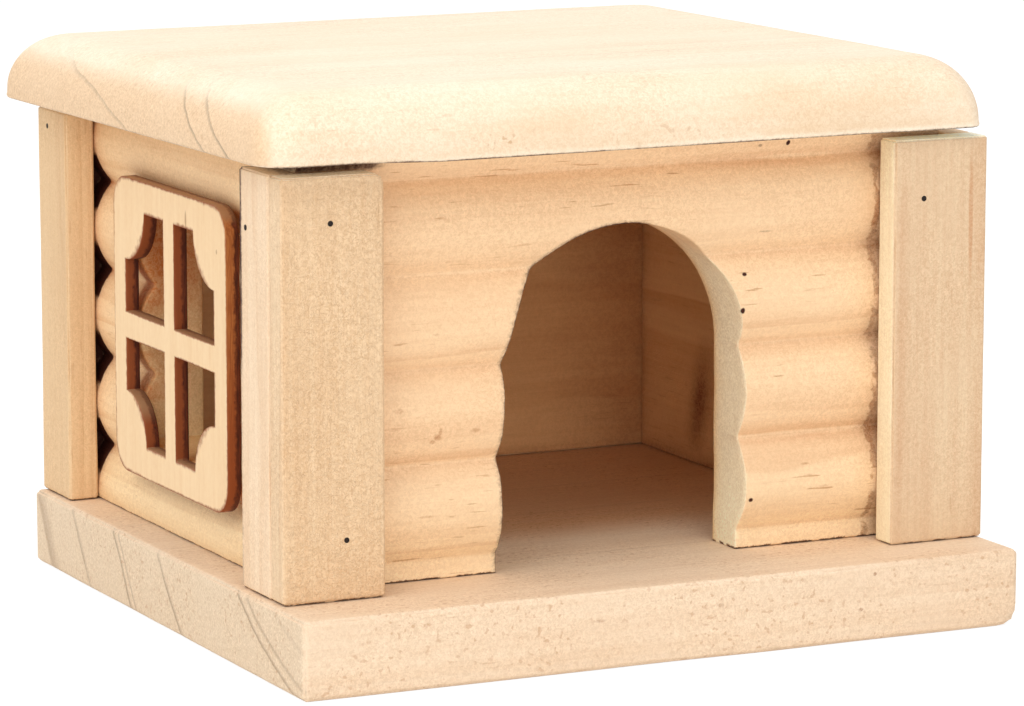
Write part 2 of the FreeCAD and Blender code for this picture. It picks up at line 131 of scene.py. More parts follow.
def boardPiece(name, values):
    # six grids, one for each side of a box. A point on a side is drawn in towards the box's core
    # until it is one easing away from it, which rounds the edges. The faces then sink unevenly.
    low, high = np.array(values["low"], float), np.array(values["high"], float)
    easing, dents, seed = values["easing"], values["dents"], values["seed"]
    lines = [easedLines(low[i], high[i], easing, values["step"]) for i in range(3)]
    grids, quads, start = [], [], 0
    for axis in range(3):
        across, along = (axis + 1) % 3, (axis + 2) % 3
        shape = (len(lines[along]), len(lines[across]))
        for side in (low, high):
            grid = np.empty(shape + (3,))
            grid[..., across] = lines[across][None, :]
            grid[..., along] = lines[along][:, None]
            grid[..., axis] = side[axis]
            grids.append(grid.reshape(-1, 3))
            quads.append(gridQuads(*shape, start=start, flip=side is low))
            start += shape[0] * shape[1]
    spots = np.concatenate(grids)
    core = np.clip(spots, low + easing, high - easing)
    outward = spots - core
    outward /= np.linalg.norm(outward, axis=1, keepdims=True)
    corner = rise(1 - np.abs(outward).max(axis=1), 0, 0.29)
    sink = values["waver"] * softNoise(spots, boardNoise["waver"], seed)
    sink += dents * corner * softNoise(spots, boardNoise["dent"], seed + 3.3) ** 2
    sink += 0.3 * dents * corner * softNoise(spots, boardNoise["nick"], seed + 7.7)
    points = core + outward * (easing - sink[:, None])
    for (x, z), radius in values.get("rounded", ()):  # a corner seen from the front, rounded
        middle = np.array([x - radius, z - radius])
        away = points[:, [0, 2]] - middle
        length = np.linalg.norm(away, axis=1)
        outside = (away > 0).all(axis=1) & (length > radius)
        points[outside[:, None] & [True, False, True]] = (
            middle + away[outside] * (radius / length[outside])[:, None]).reshape(-1)
    for line, reach, depth in values.get("wornEdges", ()):  # a chamfer worn along one edge
        worn = np.clip(1 - awayFrom(spots, line) / reach, 0, 1) ** 2
        points -= outward * (depth * worn)[:, None]
    toEdge = np.sort(np.minimum(spots - low, high - spots), axis=1)[:, 1]
    wear = np.exp(-toEdge / 0.9) * (0.5 + softNoise(spots, boardNoise["wear"], 5.1))
    # masks the piece may give: painted shade, a brown tone for painted shade and streaks, and
    # painted light and shade
    soot, hollow, inside = (values.get(key, lambda x, y, z: 0 * x)(*spots.T)
                            for key in ("grime", "shade", "room"))
    for line, reach in values.get("sooty", ()):  # painted shade: dark ground beside one edge
        near = np.clip(1.3 - awayFrom(spots, line) / reach, 0, 1)
        soot = np.maximum(soot, near * rise(spots[:, 2], values["cleanAbove"], -1.0))
    marks = {"wear": wear, "hollow": hollow, "soot": soot, "inside": inside}
    return makePiece(name, points, np.concatenate(quads), marks, values)


def platePiece(name, front, back, keep, loops, marks, values):
    # a front and a back grid of points, without the cells that keep leaves out, joined along
    # their outlines: each loop of grid points is carried from the front to the back
    rows, columns = front.shape[:2]
    cells = keep.reshape(-1)
    quads = [gridQuads(rows, columns)[cells],
             gridQuads(rows, columns, rows * columns, True)[cells]]
    points = [front.reshape(-1, 3), back.reshape(-1, 3)]
    layers = {mark: [both[0].reshape(-1), both[1].reshape(-1)] for mark, both in marks.items()}
    start = 2 * rows * columns
    share = np.linspace(0, 1, wallSteps + 1)[:, None]
    for loop in loops:
        loop = np.append(loop, loop[0])
        first, last = points[0][loop], points[1][loop]
        ring = first[None] + (last - first)[None] * share[..., None]
        points.append(ring.reshape(-1, 3))
        quads.append(gridQuads(wallSteps + 1, len(loop), start, True))
        for mark, parts in layers.items():
            fade = 1 if mark in values["evenMarks"] else 6
            mixed = parts[0][loop] * (1 - share) ** fade + parts[1][loop] * share ** fade
            parts.append(mixed.reshape(-1))
        start += ring.shape[0] * ring.shape[1]
    layers = {mark: np.concatenate(parts) for mark, parts in layers.items()}
    return makePiece(name, np.concatenate(points), np.concatenate(quads), layers, values)


def logDepth(height, values):
    # how far the milled face lies behind the crest plane: arcs of a circle, one for each log,
    # averaged over a short stretch so that the grooves are not knife sharp
    pitch, groove, shifts = values["pitch"], values["groove"], np.linspace(-0.45, 0.45, 7)
    radius = ((pitch / 2) ** 2 + groove ** 2) / (2 * groove)
    total = np.zeros_like(height)
    for shift in shifts:
        above = height + shift - values["grooveStart"]
        if values["paleFoot"]:  # below the lowest groove the face stays back
            above = np.maximum(above, 0)
        fromCrest = above % pitch - pitch / 2
        total += radius - np.sqrt(radius ** 2 - fromCrest ** 2)
    return total / len(shifts)


def logRows(values, extra=()):
    # heights of the grid's rows: even, with more of them in the grooves and over the edges
    height = values["height"]
    even = easedLines(0, height, values["easing"], values["step"])
    grooves = np.arange(values["grooveStart"], height - 1, values["pitch"])[:, None]
    close = (grooves + np.array([-0.7, -0.35, -0.15, 0.0, 0.15, 0.35, 0.7])[None]).reshape(-1)
    rows = np.unique(np.round(np.concatenate([even, close[close > 1], np.array(extra)]), 3))
    return rows[np.append(True, np.diff(rows) > 0.045)]


def outline(index):
    # the grid's rim, once round
    return np.concatenate([index[0, :], index[1:, -1], index[-1, -2::-1], index[-2:0:-1, 0]])


def nearest(lines, value):
    return int(np.argmin(np.abs(lines - value)))


def plainGrid(values, hole):
    # straight rows and columns, close together beside the hole and where a board starts to cover
    # the wall. The distance from the hole is the largest of the distances past its four sides.
    easing, length = values["easing"], values["length"]
    (left, foot), (right, top) = hole or ((0, 0), (0, 0))
    stops = (0, left, right, length) if hole else (0, length)
    covers = np.array([end for pair in values["covered"] for end in pair])
    covers = covers[(covers > 1) & (covers < length - 1)]
    close = (covers[:, None] + np.array([-0.35, -0.12, 0.12, 0.35])[None]).reshape(-1)
    columns = [easedLines(*ends, easing, values["step"]) for ends in zip(stops, stops[1:])]
    columns = np.unique(np.round(np.concatenate([*columns, close]), 3))
    rows = logRows(values, (foot, foot - easing, top, top + easing) if hole else ())
    along, up = np.meshgrid(columns, rows)
    index = np.arange(along.size).reshape(along.shape)
    keep, loops = np.ones((len(rows) - 1, len(columns) - 1), dtype=bool), [outline(index)]
    fromCut = np.full_like(along, np.inf)
    if hole:
        first, last = nearest(columns, left), nearest(columns, right)
        lowest, highest = nearest(rows, foot), nearest(rows, top)
        keep[lowest:highest, first:last] = False
        loops.append(outline(index[lowest:highest + 1, first:last + 1])[::-1])
        fromCut = np.max([left - along, along - right, foot - up, up - top, 0 * up], axis=0)
    return along, up, keep, loops, fromCut


def archGrid(values, arch):
    # a grid to the left and one to the right of the doorway, joined above its crown. The doorway's
    # half width is the root of (half squared - rise above the spring squared), a little ragged,
    # and on the left leaning out where it bulges.
    easing, step, near = values["easing"], values["step"], nearEdge(values["easing"])
    middle, half, spring = arch["middle"], arch["width"] / 2, arch["spring"]
    crown = spring + half
    turn = np.radians(np.linspace(0, 90, 52))
    rows = logRows(values, np.concatenate([spring + half * np.sin(turn), crown + near]))
    crownRow = nearest(rows, crown)
    rows[crownRow] = crown
    reach = np.sqrt(np.maximum(half ** 2 - np.clip(rows - spring, 0, half) ** 2, 0))
    ragged = arch["ragged"] * (softNoise(np.stack([rows * 0, rows, rows * 0], 1), 4.0) - 0.2)
    lean = arch["lean"] * np.exp(-((rows - arch["leanAt"]) / 8.0) ** 2)
    reach = np.where(reach > 0.8, reach + ragged, reach)
    leftReach = np.where(reach > 0.8, reach - lean, reach)
    halves, none = [], 0 * rows
    for low, high in ((none, middle - leftReach), (middle + reach, none + values["length"])):
        share = np.linspace(0, 1, int(round(max(high[0] - low[0], 20) / step)) + 1)
        body = (low + easing)[:, None] + (high - low - 2 * easing)[:, None] * share[None]
        halves.append(np.concatenate([low[:, None] + near[:-1], body,
                                      high[:, None] - near[:-1][::-1]], axis=1))
    along = np.concatenate(halves, axis=1)
    up = np.repeat(rows[:, None], along.shape[1], axis=1)
    split = halves[0].shape[1]
    keep = np.ones((len(rows) - 1, along.shape[1] - 1), dtype=bool)
    keep[:crownRow, split - 1] = False
    index = np.arange(along.size).reshape(along.shape)
    loops = [np.concatenate([index[0, :split], index[1:crownRow + 1, split - 1],
                             index[crownRow - 1::-1, split], index[0, split + 1:],
                             index[1:, -1], index[-1, -2::-1], index[-2:0:-1, 0]])]
    sideReach = np.where(along < middle, leftReach[:, None], reach[:, None])
    beside = (np.abs(along - middle) - sideReach) * np.clip(sideReach / half, 0.3, 1)
    fromCrown = np.hypot(along - middle, np.maximum(up - spring, 0)) - half
    fromCut = np.maximum(np.where(up < spring + 0.7 * half, beside, fromCrown), 0)
    return along, up, keep, loops, fromCut


def logWall(name, values):
    # length runs along the wall, height upwards and depth into it from the crests. The face is
    # depth = log arcs + eased edges + slow wavering + dents, the back is flat.
    easing, length, height = values["easing"], values["length"], values["height"]
    hole, waver, place = values.get("hole"), values["waver"], values["place"]
    grid = archGrid if isinstance(hole, dict) else plainGrid
    along, up, keep, loops, fromCut = grid(values, hole)
    edge = np.minimum(np.minimum(along, length - along), np.minimum(up, height - up))
    edge = np.minimum(edge, fromCut)
    logs = logDepth(up, values)
    flat = np.stack([along, up, up * 0], -1)
    longWaves, shortWaves = values["waverSizes"]
    waving = waver * softNoise(flat, longWaves, values["seed"])
    waving += 0.4 * waver * softNoise(flat, shortWaves, values["seed"] + 2.2)
    dents = values["dents"] * np.clip(1 - edge / values["dentReach"], 0, 1)
    dents = dents * softNoise(flat, values["dentSize"], 9.1) ** 2
    depth = logs + easedDepth(edge, easing) + waving + dents
    behind = values["thickness"] - easedDepth(edge, easing) - 0.05 * softNoise(flat, 9.0, 4.4)
    wear = np.exp(-edge / values["wearReach"]) * (0.4 + softNoise(flat, values["dentSize"], 5.1))
    # painted shade, brown, in the grooves: more on the underside of each log and towards the
    # wall's ends
    firstEnd, lastEnd = values["ends"]
    fromEnd = np.minimum(along - firstEnd, lastEnd - along).clip(0)
    ends = np.exp(-fromEnd / values["endReach"])
    groove = np.clip(logs / values["groove"], 0, 1)
    underLog = (up - values["grooveStart"]) % values["pitch"] < values["pitch"] / 2
    hollow = groove ** 2.5 * np.where(underLog, *values["browning"]) * (0.5 + 0.5 * ends)
    hollow = np.minimum(hollow + 0.7 * groove * ends ** 2, 1)
    hollow = np.maximum(hollow, 0.35 * ends) * rise(up, values["paleFoot"], 2)
    soot = np.zeros_like(wear)
    for start, end in values["covered"]:  # painted shade behind the boards, where the grooves run on in the dark
        behindBoard = rise(along, start, 0.35) * rise(along, end, -0.35) * rise(logs, 0.25, 0.3)
        behindBoard *= rise(up, height - 1.0, -0.6)
        soot = np.maximum(soot, values["gapSoot"] * behindBoard)
        hollow = np.maximum(hollow, values["gapHollow"] * behindBoard)
    if "plate" in values:  # painted shade in the grooves under the window plate
        (start, foot), (end, top) = values["plate"]
        under = (along > start) & (along < end) & (up > foot) & (up < top)
        hollow = np.maximum(hollow, under * np.clip((logs - 0.2) / 0.5, 0, 0.9))
        soot = np.maximum(soot, under * np.clip((logs - 0.2) / 2, 0, 0.2))
    # painted shadow along the top of one stretch of the wall, under the roof
    if "darkTop" in values:
        start, end, reach = values["darkTop"]
        topZone = 0.7 * rise(up, height - reach, 0.6)
        soot = np.maximum(soot, topZone * rise(along, end, -1.5) * (along > start))
    # a dark line along the edge of the doorway
    cutSoot = values.get("cutSoot", np.zeros_like)(along)
    soot = np.maximum(soot, np.exp(-fromCut / values["cutReach"]) * cutSoot)
    rim = (fromCut < 0.5) * values.get("rimShade", np.zeros_like)(up)
    hollow = np.maximum(hollow, rim)
    inner = values["innerShade"](along, up) if "innerShade" in values else rim
    marks = {"wear": (wear, wear), "hollow": (hollow, inner), "soot": (soot, 0 * soot),
             "inside": (1.0 * (rim > 0.1), 0 * soot + 1)}
    front, back = (np.stack(place(along, face, up), -1) for face in (depth, behind))
    return platePiece(name, front, back, keep, loops, marks, values)


class Wire:
    # a value in a node tree. A sign between wires or numbers adds a math node, and [key] gives
    # another output of the same node.
    def __init__(self, tree, socket):
        self.tree, self.socket = tree, socket

    def __getitem__(self, key):
        return Wire(self.tree, self.socket.node.outputs[key])

    def math(self, operation, other=0.0):
        return put(self.tree, "Math", {0: self, 1: other}, operation=operation)

    def clamped(self):
        self.socket.node.use_clamp = True
        return self

    def __add__(self, other):
        return self.math("ADD", other)

    def __sub__(self, other):
        return self.math("SUBTRACT", other)

    def __rsub__(self, number):
        return put(self.tree, "Math", {0: number, 1: self}, operation="SUBTRACT")

    def __mul__(self, other):
        return self.math("MULTIPLY", other)

    def __truediv__(self, other):
        return self.math("DIVIDE", other)

    def __abs__(self):
        return self.math("ABSOLUTE")


def put(tree, kind, inputs=(), output=0, **settings):
    # a node with its settings, and its inputs given as values or as wires to link
    made = tree.nodes.new(kind if kind.startswith("NodeGroup") else "ShaderNode" + kind)
    for setting, value in settings.items():
        setattr(made, setting, value)
    for key, value in dict(inputs).items():
        if isinstance(value, Wire):
            tree.links.new(value.socket, made.inputs[key])
        else:
            made.inputs[key].default_value = value
    return Wire(tree, made.outputs[output]) if len(made.outputs) else None


def tone(red, green, blue):
    # a colour given as 0..255 screen values, as the linear values that the shaders take
    screen = np.array([red, green, blue]) / 255
    linear = np.where(screen <= 0.04045, screen / 12.92, ((screen + 0.055) / 1.055) ** 2.4)
    return (*linear.tolist(), 1.0)


def smoothRange(value, low, high):
    return put(value.tree, "MapRange", {0: value, 1: low, 2: high, 3: 0.0, 4: 1.0},
               interpolation_type="SMOOTHSTEP")


def noise(position, scale, detail, roughness=0.5, distortion=0.0):
    return put(position.tree, "TexNoise",
               {"Vector": position, "Scale": scale, "Detail": detail, "Roughness": roughness,
                "Distortion": distortion}, "Fac")


def mapped(vector, scale=(1, 1, 1), shift=(0, 0, 0), turn=(0, 0, 0)):
    return put(vector.tree, "Mapping",
               {"Vector": vector, "Scale": scale, "Location": shift, "Rotation": turn})


def attribute(tree, name):
    return put(tree, "Attribute", (), "Fac", attribute_name=name)


def vectorMath(operation, first, second=(0, 0, 0), output=0):
    return put(first.tree, "VectorMath", {0: first, 1: second}, output, operation=operation)


def stretched(position, scale, seed, detail=2.0, roughness=0.5):
    # noise drawn out along the grain
    moved = vectorMath("ADD", vectorMath("MULTIPLY", position, scale), (seed, seed * 1.7, -seed))
    return noise(moved, 1.0, detail, roughness)


def blendColour(share, first, second, mode="MIX"):
    tree = next(value.tree for value in (share, first) if isinstance(value, Wire))
    return put(tree, "Mix", {0: share, 6: first, 7: second}, 2, data_type="RGBA", blend_type=mode)


def speck(position, centre, radius, strength):
    # a small mark: centre in millimetres, radius along each axis
    scaled = mapped(position, [1 / r for r in radius], [-c / r for c, r in zip(centre, radius)])
    away = vectorMath("LENGTH", scaled, output="Value")
    return (1.0 - smoothRange(away, 0.4, 1.0)) * strength


def newGroup(name, inputs, outputs):
    # a value's size tells its kind: a number, a vector or a colour
    kinds = {1: "NodeSocketFloat", 3: "NodeSocketVector", 4: "NodeSocketColor"}
    group = bpy.data.node_groups.new(name, "ShaderNodeTree")
    for label, value in inputs.items():
        kind = kinds[np.size(value)]
        socket = group.interface.new_socket(label, in_out="INPUT", socket_type=kind)
        socket.default_value = value
    for label, size in outputs.items():
        group.interface.new_socket(label, in_out="OUTPUT", socket_type=kinds[size])
    return put(group, "NodeGroupInput")


def newMaterial(name):
    material = bpy.data.materials.new(name)
    material.use_nodes = True
    material.node_tree.nodes.clear()
    return material, material.node_tree


def coat(tree, colour, roughness, height, relief, depth, **others):
    # the shader over its bump, with any other inputs by name
    bump = put(tree, "Bump", {"Strength": relief, "Distance": depth, "Height": height})
    shader = put(tree, "BsdfPrincipled",
                 {"Base Color": colour, "Roughness": roughness, "Normal": bump, **others})
    put(tree, "OutputMaterial", {"Surface": shader})


def makeRingGroup():
    # distance from the heart of the tree, in millimetres, bent a little along the grain
    given = newGroup("Year Ring Distance", {"Position": (0, 0, 0), "Bend": 1.0}, {"Distance": 1})
    position = given["Position"]
    fromHeart = vectorMath("LENGTH", vectorMath("MULTIPLY", position, (0, 1, 1)), output="Value")
    slow = stretched(position, (0.012, 0.035, 0.035), 3.0)
    quick = stretched(position, (0.05, 0.4, 0.4), 8.0)
    bent = ((slow - 0.5) + (quick - 0.5) * 0.12) * (given["Bend"] * 4.0)
    put(given.tree, "NodeGroupOutput", {"Distance": fromHeart + bent})
    return given.tree


pineLook = {
    "yearUneven": (0.45, 2.4), "lateWood": (0.3, 0.92), "weakestYear": 0.25,
    # stretched noises: scale along and across the grain, seed, detail, roughness
    "broadFibre": ((0.025, 1.1, 1.1), 1.0, 3.0, 0.6),
    "fineFibre": ((0.16, 5.0, 5.0), 5.0, 3.0, 0.65),
    "cloud": ((0.03, 0.07, 0.07), 11.0, 3.0, 0.55), "canal": ((0.2, 2.2, 2.2), 17.0, 1.0, 0.4),
    "canalPatch": ((0.02, 0.09, 0.09), 23.0, 1.0), "fuzzPatch": ((0.05, 0.07, 0.07), 31.0, 2.0),
    # even noises: scale, detail, roughness, distortion
    "fuzz": (1.35, 4.0, 0.7), "endSpeck": (2.6, 3.0, 0.75), "fleck": (1.9, 2.0, 0.55, 1.2),
    "curl": (1.0, 2.0, 0.5, 0.8), "pore": (1.15, 1.0, 0.4),
    "endDark": (0.90, 0.87, 0.82, 1), "endLight": (1.04, 1.04, 1.04, 1), "endShare": 0.75,
    "fleckDark": (0.88, 0.83, 0.77, 1), "fleckLight": (1.06, 1.06, 1.06, 1),
    # the near-black colour of dark specks and joints, also painted as shade into gaps and corners
    "curlLight": (1.10, 1.10, 1.12, 1), "rubbedShare": 0.35, "soot": (62, 24, 13),
}


# Inputs of the pine group, with the keys that a piece's own values have for them.
maskInputs = ("Distance", "Marked Rings", "End Grain", "Wear", "Hollow", "Soot", "Inside")
numberInputs = {"Ring Spacing": "spacing", "Rings": "rings", "Fibres": "fibres",
                "Canals": "canals", "Pores": "pores", "Fuzz": "fuzz", "Cloud": "cloud"}
toneInputs = {"Pale": "pale", "Late": "late", "Canal": "canal", "Scorch": "scorch",
              "End Tone": "end", "Ring Line": "line"}


def makePineGroup(look):
    # solid pine: year rings, fibres, resin canals, sanding fuzz, end grain, worn edges and
    # hollows, with painted light and shade
    inputs = {"Position": (0, 0, 0), "Inner Tone": (1, 1, 1, 1), **dict.fromkeys(maskInputs, 0.0),
              **dict.fromkeys(numberInputs, 0.5), **dict.fromkeys(toneInputs, (0.6, 0.4, 0.2, 1))}
    grain = newGroup("Sanded Pine", inputs, {"Color": 4, "Roughness": 1, "Height": 1})
    group, position = grain.tree, grain["Position"]
    broad, fine, cloud, canalNoise, canalPatch, fuzzPatch = (
        stretched(position, *look[key])
        for key in ("broadFibre", "fineFibre", "cloud", "canal", "canalPatch", "fuzzPatch"))
    fuzz, endSpeck, fleck, curlNoise, poreNoise = (
        noise(position, *look[key]) for key in ("fuzz", "endSpeck", "fleck", "curl", "pore"))
    # a year starts pale and darkens into its late wood, each year to another strength
    unevenScale, unevenShare = look["yearUneven"]
    lateStart, lateFull = look["lateWood"]
    spaced = grain["Distance"] / grain["Ring Spacing"]
    uneven = put(group, "TexNoise", {"W": spaced, "Scale": unevenScale, "Detail": 1.0},
                 "Fac", noise_dimensions="1D")
    years = uneven * unevenShare + spaced
    inYear = years.math("FRACT")
    strength = put(group, "TexWhiteNoise", {"W": years.math("FLOOR")}, "Value",
                   noise_dimensions="1D")
    late = smoothRange(inYear, lateStart, lateFull) * (1.0 - smoothRange(inYear, lateFull, 1.0))
    late = late * (strength * (1 - look["weakestYear"]) + look["weakestYear"])
    fibre = (broad - 0.5) + (fine - 0.5) * 0.6
    shade = fibre * grain["Fibres"] + late * grain["Rings"] + (cloud - 0.5) * grain["Cloud"]
    shade = ((fuzz - 0.5) * 0.3 + shade + 0.12).clamped()
    canals = smoothRange(canalNoise, 0.68, 0.76) * smoothRange(canalPatch, 0.42, 0.6)
    canals = (canals * grain["Canals"]).clamped()
    colour = blendColour(shade, grain["Pale"], grain["Late"])
    colour = blendColour(canals, colour, grain["Canal"])
    endTint = blendColour(smoothRange(endSpeck, 0.36, 0.66), look["endDark"], look["endLight"])
    endColour = blendColour(look["endShare"], colour, grain["End Tone"])
    endColour = blendColour(1.0, endColour, endTint, "MULTIPLY")
    colour = blendColour(grain["End Grain"], colour, endColour)
    lines = grain["Marked Rings"] * smoothRange(cloud, 0.1, 0.6)
    colour = blendColour(lines, colour, grain["Ring Line"])
    # sanding fuzz: small paler and darker flecks, in patches; and sparse dark pores
    fleckTint = blendColour(smoothRange(fleck, 0.34, 0.66), look["fleckDark"], look["fleckLight"])
    fuzzShare = grain["Fuzz"] * (smoothRange(fuzzPatch, 0.35, 0.65) * 0.45 + 0.55)
    colour = blendColour(fuzzShare, colour, fleckTint, "MULTIPLY")
    curls = smoothRange(abs(curlNoise - 0.5), 0.035, 0.005)
    colour = blendColour(curls * fuzzShare, colour, look["curlLight"], "MULTIPLY")
    pores = smoothRange(poreNoise, 0.62, 0.7) * (smoothRange(fuzzPatch, 0.42, 0.6) * 0.7 + 0.3)
    colour = blendColour((pores * grain["Pores"]).clamped(), colour, grain["Canal"])
    # the Hollow mask blends in a brown: painted shade in grooves, gaps and corners, and real
    # stains and streaks
    patchy = smoothRange(fleck, 0.62, 0.36) * 0.5 + smoothRange(cloud, 0.3, 0.75)
    shadeAndStainShare = (grain["Hollow"] * (patchy * 0.6 + 0.4)).clamped()
    colour = blendColour(shadeAndStainShare, colour, grain["Scorch"])
    rubbed = grain["Wear"] * smoothRange(fuzz, 0.35, 0.7) * look["rubbedShare"]
    colour = blendColour(rubbed, colour, grain["Pale"])
    # painted light and shade, multiplied in as a tone: darker inside the house, lighter on some
    # faces
    colour = blendColour(grain["Inside"], colour, grain["Inner Tone"], "MULTIPLY")
    # dark marks, and painted shade, in the near-black colour
    sooty = smoothRange((fuzz - 0.5) * 0.9 + grain["Soot"], 0.1, 0.9)
    sooty = sooty * smoothRange(grain["Soot"], 0.0, 0.12)
    height = fibre * 0.5 + late * 0.25 + fuzz * 0.45 - canals * 0.7
    height = height + (fleck + curls * 0.5) * grain["Fuzz"] * 0.7
    height = height + endSpeck * grain["End Grain"] * 0.5
    put(group, "NodeGroupOutput", {"Color": blendColour(sooty, colour, tone(*look["soot"])),
                                   "Roughness": fine * 0.22 + 0.55 - late * 0.1, "Height": height})
    return group


def makeLineGroup():
    # a broken dark line where a piece crosses a plane, such as the top of the board it stands on
    line = newGroup("Contact Line", {"Position": (0, 0, 0), "Axis": (0, 0, 1), "At": 0.0,
                                     "Reach": 0.3, "Broken": 0.4}, {"Mask": 1})
    position, broken = line["Position"], line["Broken"]
    place = vectorMath("DOT_PRODUCT", position, line["Axis"], "Value")
    away = abs(place - line["At"]) / line["Reach"] + (noise(position, 0.9, 4.0, 0.7) - 0.5) * 2.4
    unbroken = smoothRange(noise(position, 0.4, 1.0), broken, broken + 0.1)
    put(line.tree, "NodeGroupOutput", {"Mask": (1.0 - smoothRange(away, 0.35, 1.0)) * unbroken})
    return line.tree


ringGroup, pineGroup, lineGroup = makeRingGroup(), makePineGroup(pineLook), makeLineGroup()
print("node groups ready")


def ringChart(distance, rings):
    # a ramp over the distance from the heart: rings are (distance, darkness, width) in millimetres
    low = min(centre - width for centre, darkness, width in rings) - 1
    high = max(centre + width for centre, darkness, width in rings) + 1
    share = put(distance.tree, "MapRange", {0: distance, 1: low, 2: high})
    ramp = put(distance.tree, "ValToRGB", {0: share})
    stops = ramp.socket.node.color_ramp.elements
    stops[0].color, stops[1].color = (0, 0, 0, 1), (0, 0, 0, 1)
    for centre, darkness, width in rings:
        for away, dark in ((-width, 0.0), (0.25 * width, darkness), (0.5 * width, 0.0)):
            stop = stops.new((centre + away - low) / (high - low))
            stop.color = (dark, dark, dark, 1)
    return ramp


grainTurn = {"x": (0, 0, 0), "y": (0, 0, -math.pi / 2), "z": (0, math.pi / 2, 0)}


def pine(name, wood):
    # grain axis, heart of the tree and tones come from the piece's own values
    material, tree = newMaterial(name)
    coordinates = put(tree, "TexCoord")
    plain = mapped(coordinates["Object"], perMetre)
    centred = mapped(coordinates["Object"], perMetre, [-c for c in wood["heart"]])
    position = mapped(centred, turn=grainTurn[wood["grain"]])
    distance = put(tree, "Group", {"Position": position, "Bend": wood["bend"]},
                   node_tree=ringGroup)
    along = [1.0 * (axis == wood["grain"]) for axis in "xyz"]
    facing = vectorMath("DOT_PRODUCT", coordinates["Normal"], along, "Value")
    endGrain = smoothRange(abs(facing), 0.55, 0.9)
    wear, hollow, soot, inside = (attribute(tree, mark)
                                  for mark in ("wear", "hollow", "soot", "inside"))
    for axis, at, reach, broken, strength, dark in wood["lines"]:
        line = put(tree, "Group", {"Position": plain, "Axis": axis, "At": at,
                                   "Reach": reach, "Broken": broken},
                   node_tree=lineGroup) * strength
        hollow = hollow.math("MAXIMUM", line)
        soot = soot.math("MAXIMUM", line * dark)
    for mark in wood["stains"]:
        hollow = hollow.math("MAXIMUM", speck(plain, *mark))
    for mark in wood["specks"]:
        soot = soot.math("MAXIMUM", speck(plain, *mark))
    inputs = {label: wood[key] for label, key in numberInputs.items()}
    inputs.update({label: tone(*wood[key]) for label, key in toneInputs.items()})
    inputs.update({"Position": position, "Distance": distance, "Inside": inside, "Wear": wear,
                   "End Grain": endGrain, "Hollow": hollow, "Soot": soot,
                   "Inner Tone": (*wood["inner"], 1.0)})
    if wood["rough"]:
        patches = speck(plain, *wood["rough"][0])
        for patch in wood["rough"][1:]:
            patches = patches.math("MAXIMUM", speck(plain, *patch))
        inputs["Pores"] = patches + wood["pores"]
    if wood["chart"]:
        inputs["Marked Rings"] = ringChart(distance, wood["chart"]) * (endGrain * 0.85 + 0.15)
    surface = put(tree, "Group", inputs, node_tree=pineGroup)
    colour = surface["Color"]
    if wood["foot"]:  # painted light, paler towards the base board
        reach, gain = wood["foot"]
        height = put(tree, "SeparateXYZ", {0: plain})["Z"]
        colour = blendColour(smoothRange(height, baseTop + reach, baseTop), colour, (*gain, 1.0),
                             "MULTIPLY")
    coat(tree, colour, surface["Roughness"], surface["Height"], wood["relief"], 0.00025,
         **{"Specular IOR Level": 0.25})
    return material


def finish(piece, material):
    piece.data.materials.clear()
    piece.data.materials.append(material)


footLine = ((0, 0, 1), baseTop, 0.3, 0.36, 0.9, 0.7)  # axis, at, reach, broken, strength, dark


def wood(**changes):
    # the house's usual pine, with what is different on one piece
    usual = {"grain": "z", "heart": (0, 0, 0), "bend": 1.0, "spacing": 3.2, "rings": 0.35,
             "fibres": 0.5, "canals": 0.25, "pores": 0.0, "fuzz": 0.7, "cloud": 0.5, "relief": 0.4,
             "pale": (246, 216, 178), "late": (214, 166, 116), "canal": (186, 134, 88),
             "scorch": (150, 92, 48), "end": (236, 214, 184), "line": (150, 122, 96),
             # inner: painted light and shade, a tone multiplied in where a piece marks it, here
             # darker for the inside of the house; foot: painted light towards the base
             "inner": (1.0, 0.84, 0.66), "specks": (), "stains": (), "rough": (), "foot": (),
             "chart": (), "lines": [footLine]}
    return {**usual, **changes}


def marksOn(face, deep, marks):
    # marks on a face across y, from (x, z, radius along x, radius along z, strength)
    return [((x, face, z), (wide, deep, high), strength) for x, z, wide, high, strength in marks]


baseValues = {
    "node": "base_board", "body": "house", "slot": "base_pine",
    "low": (-60, -55.5, 0), "high": (60, 55.5, baseTop), "easing": 0.9, "step": 1.3,
    "waver": 0.10, "dents": 0.35, "seed": 1.0,
    "wornEdges": [(((60, 0, 0), (1, 0, 1)), 3.0, 1.6)],
    # painted shade: the floor inside the house darker towards the back, through the inner tone
    "room": lambda x, y, z: (rise(y, -19, 12) * (y < 48.5) * (np.abs(x - 2.5) < 45.5)
                             * (z > 11.9)),
    "wood": wood(
        grain="x", heart=(0, -75.3, 72.0), pale=(241, 217, 189), late=(216, 177, 138),
        chart=[(68.0, 0.15, 0.9), (73.4, 0.7, 0.5), (75.4, 0.8, 0.55),
               (97.8, 0.75, 0.8), (111.6, 0.5, 0.6), (113.4, 0.75, 0.7),
               (128.4, 0.6, 0.9), (142.0, 0.5, 3.0)],
        spacing=5.0, rings=0.12, end=(232, 213, 187), fuzz=0.8, pores=0.4, lines=(),
        inner=(0.86, 0.68, 0.54),
        stains=marksOn(-55.5, 2, [(32.1, 5.1, 0.6, 0.4, 0.8), (8.0, 8.1, 0.8, 0.4, 0.5),
                                  (34.5, 10.4, 0.4, 0.4, 0.7),
                                  (-12.1, 7.6, 1.3, 0.35, 0.45)])),
}
finish(boardPiece("base", baseValues), pine("base pine", baseValues["wood"]))

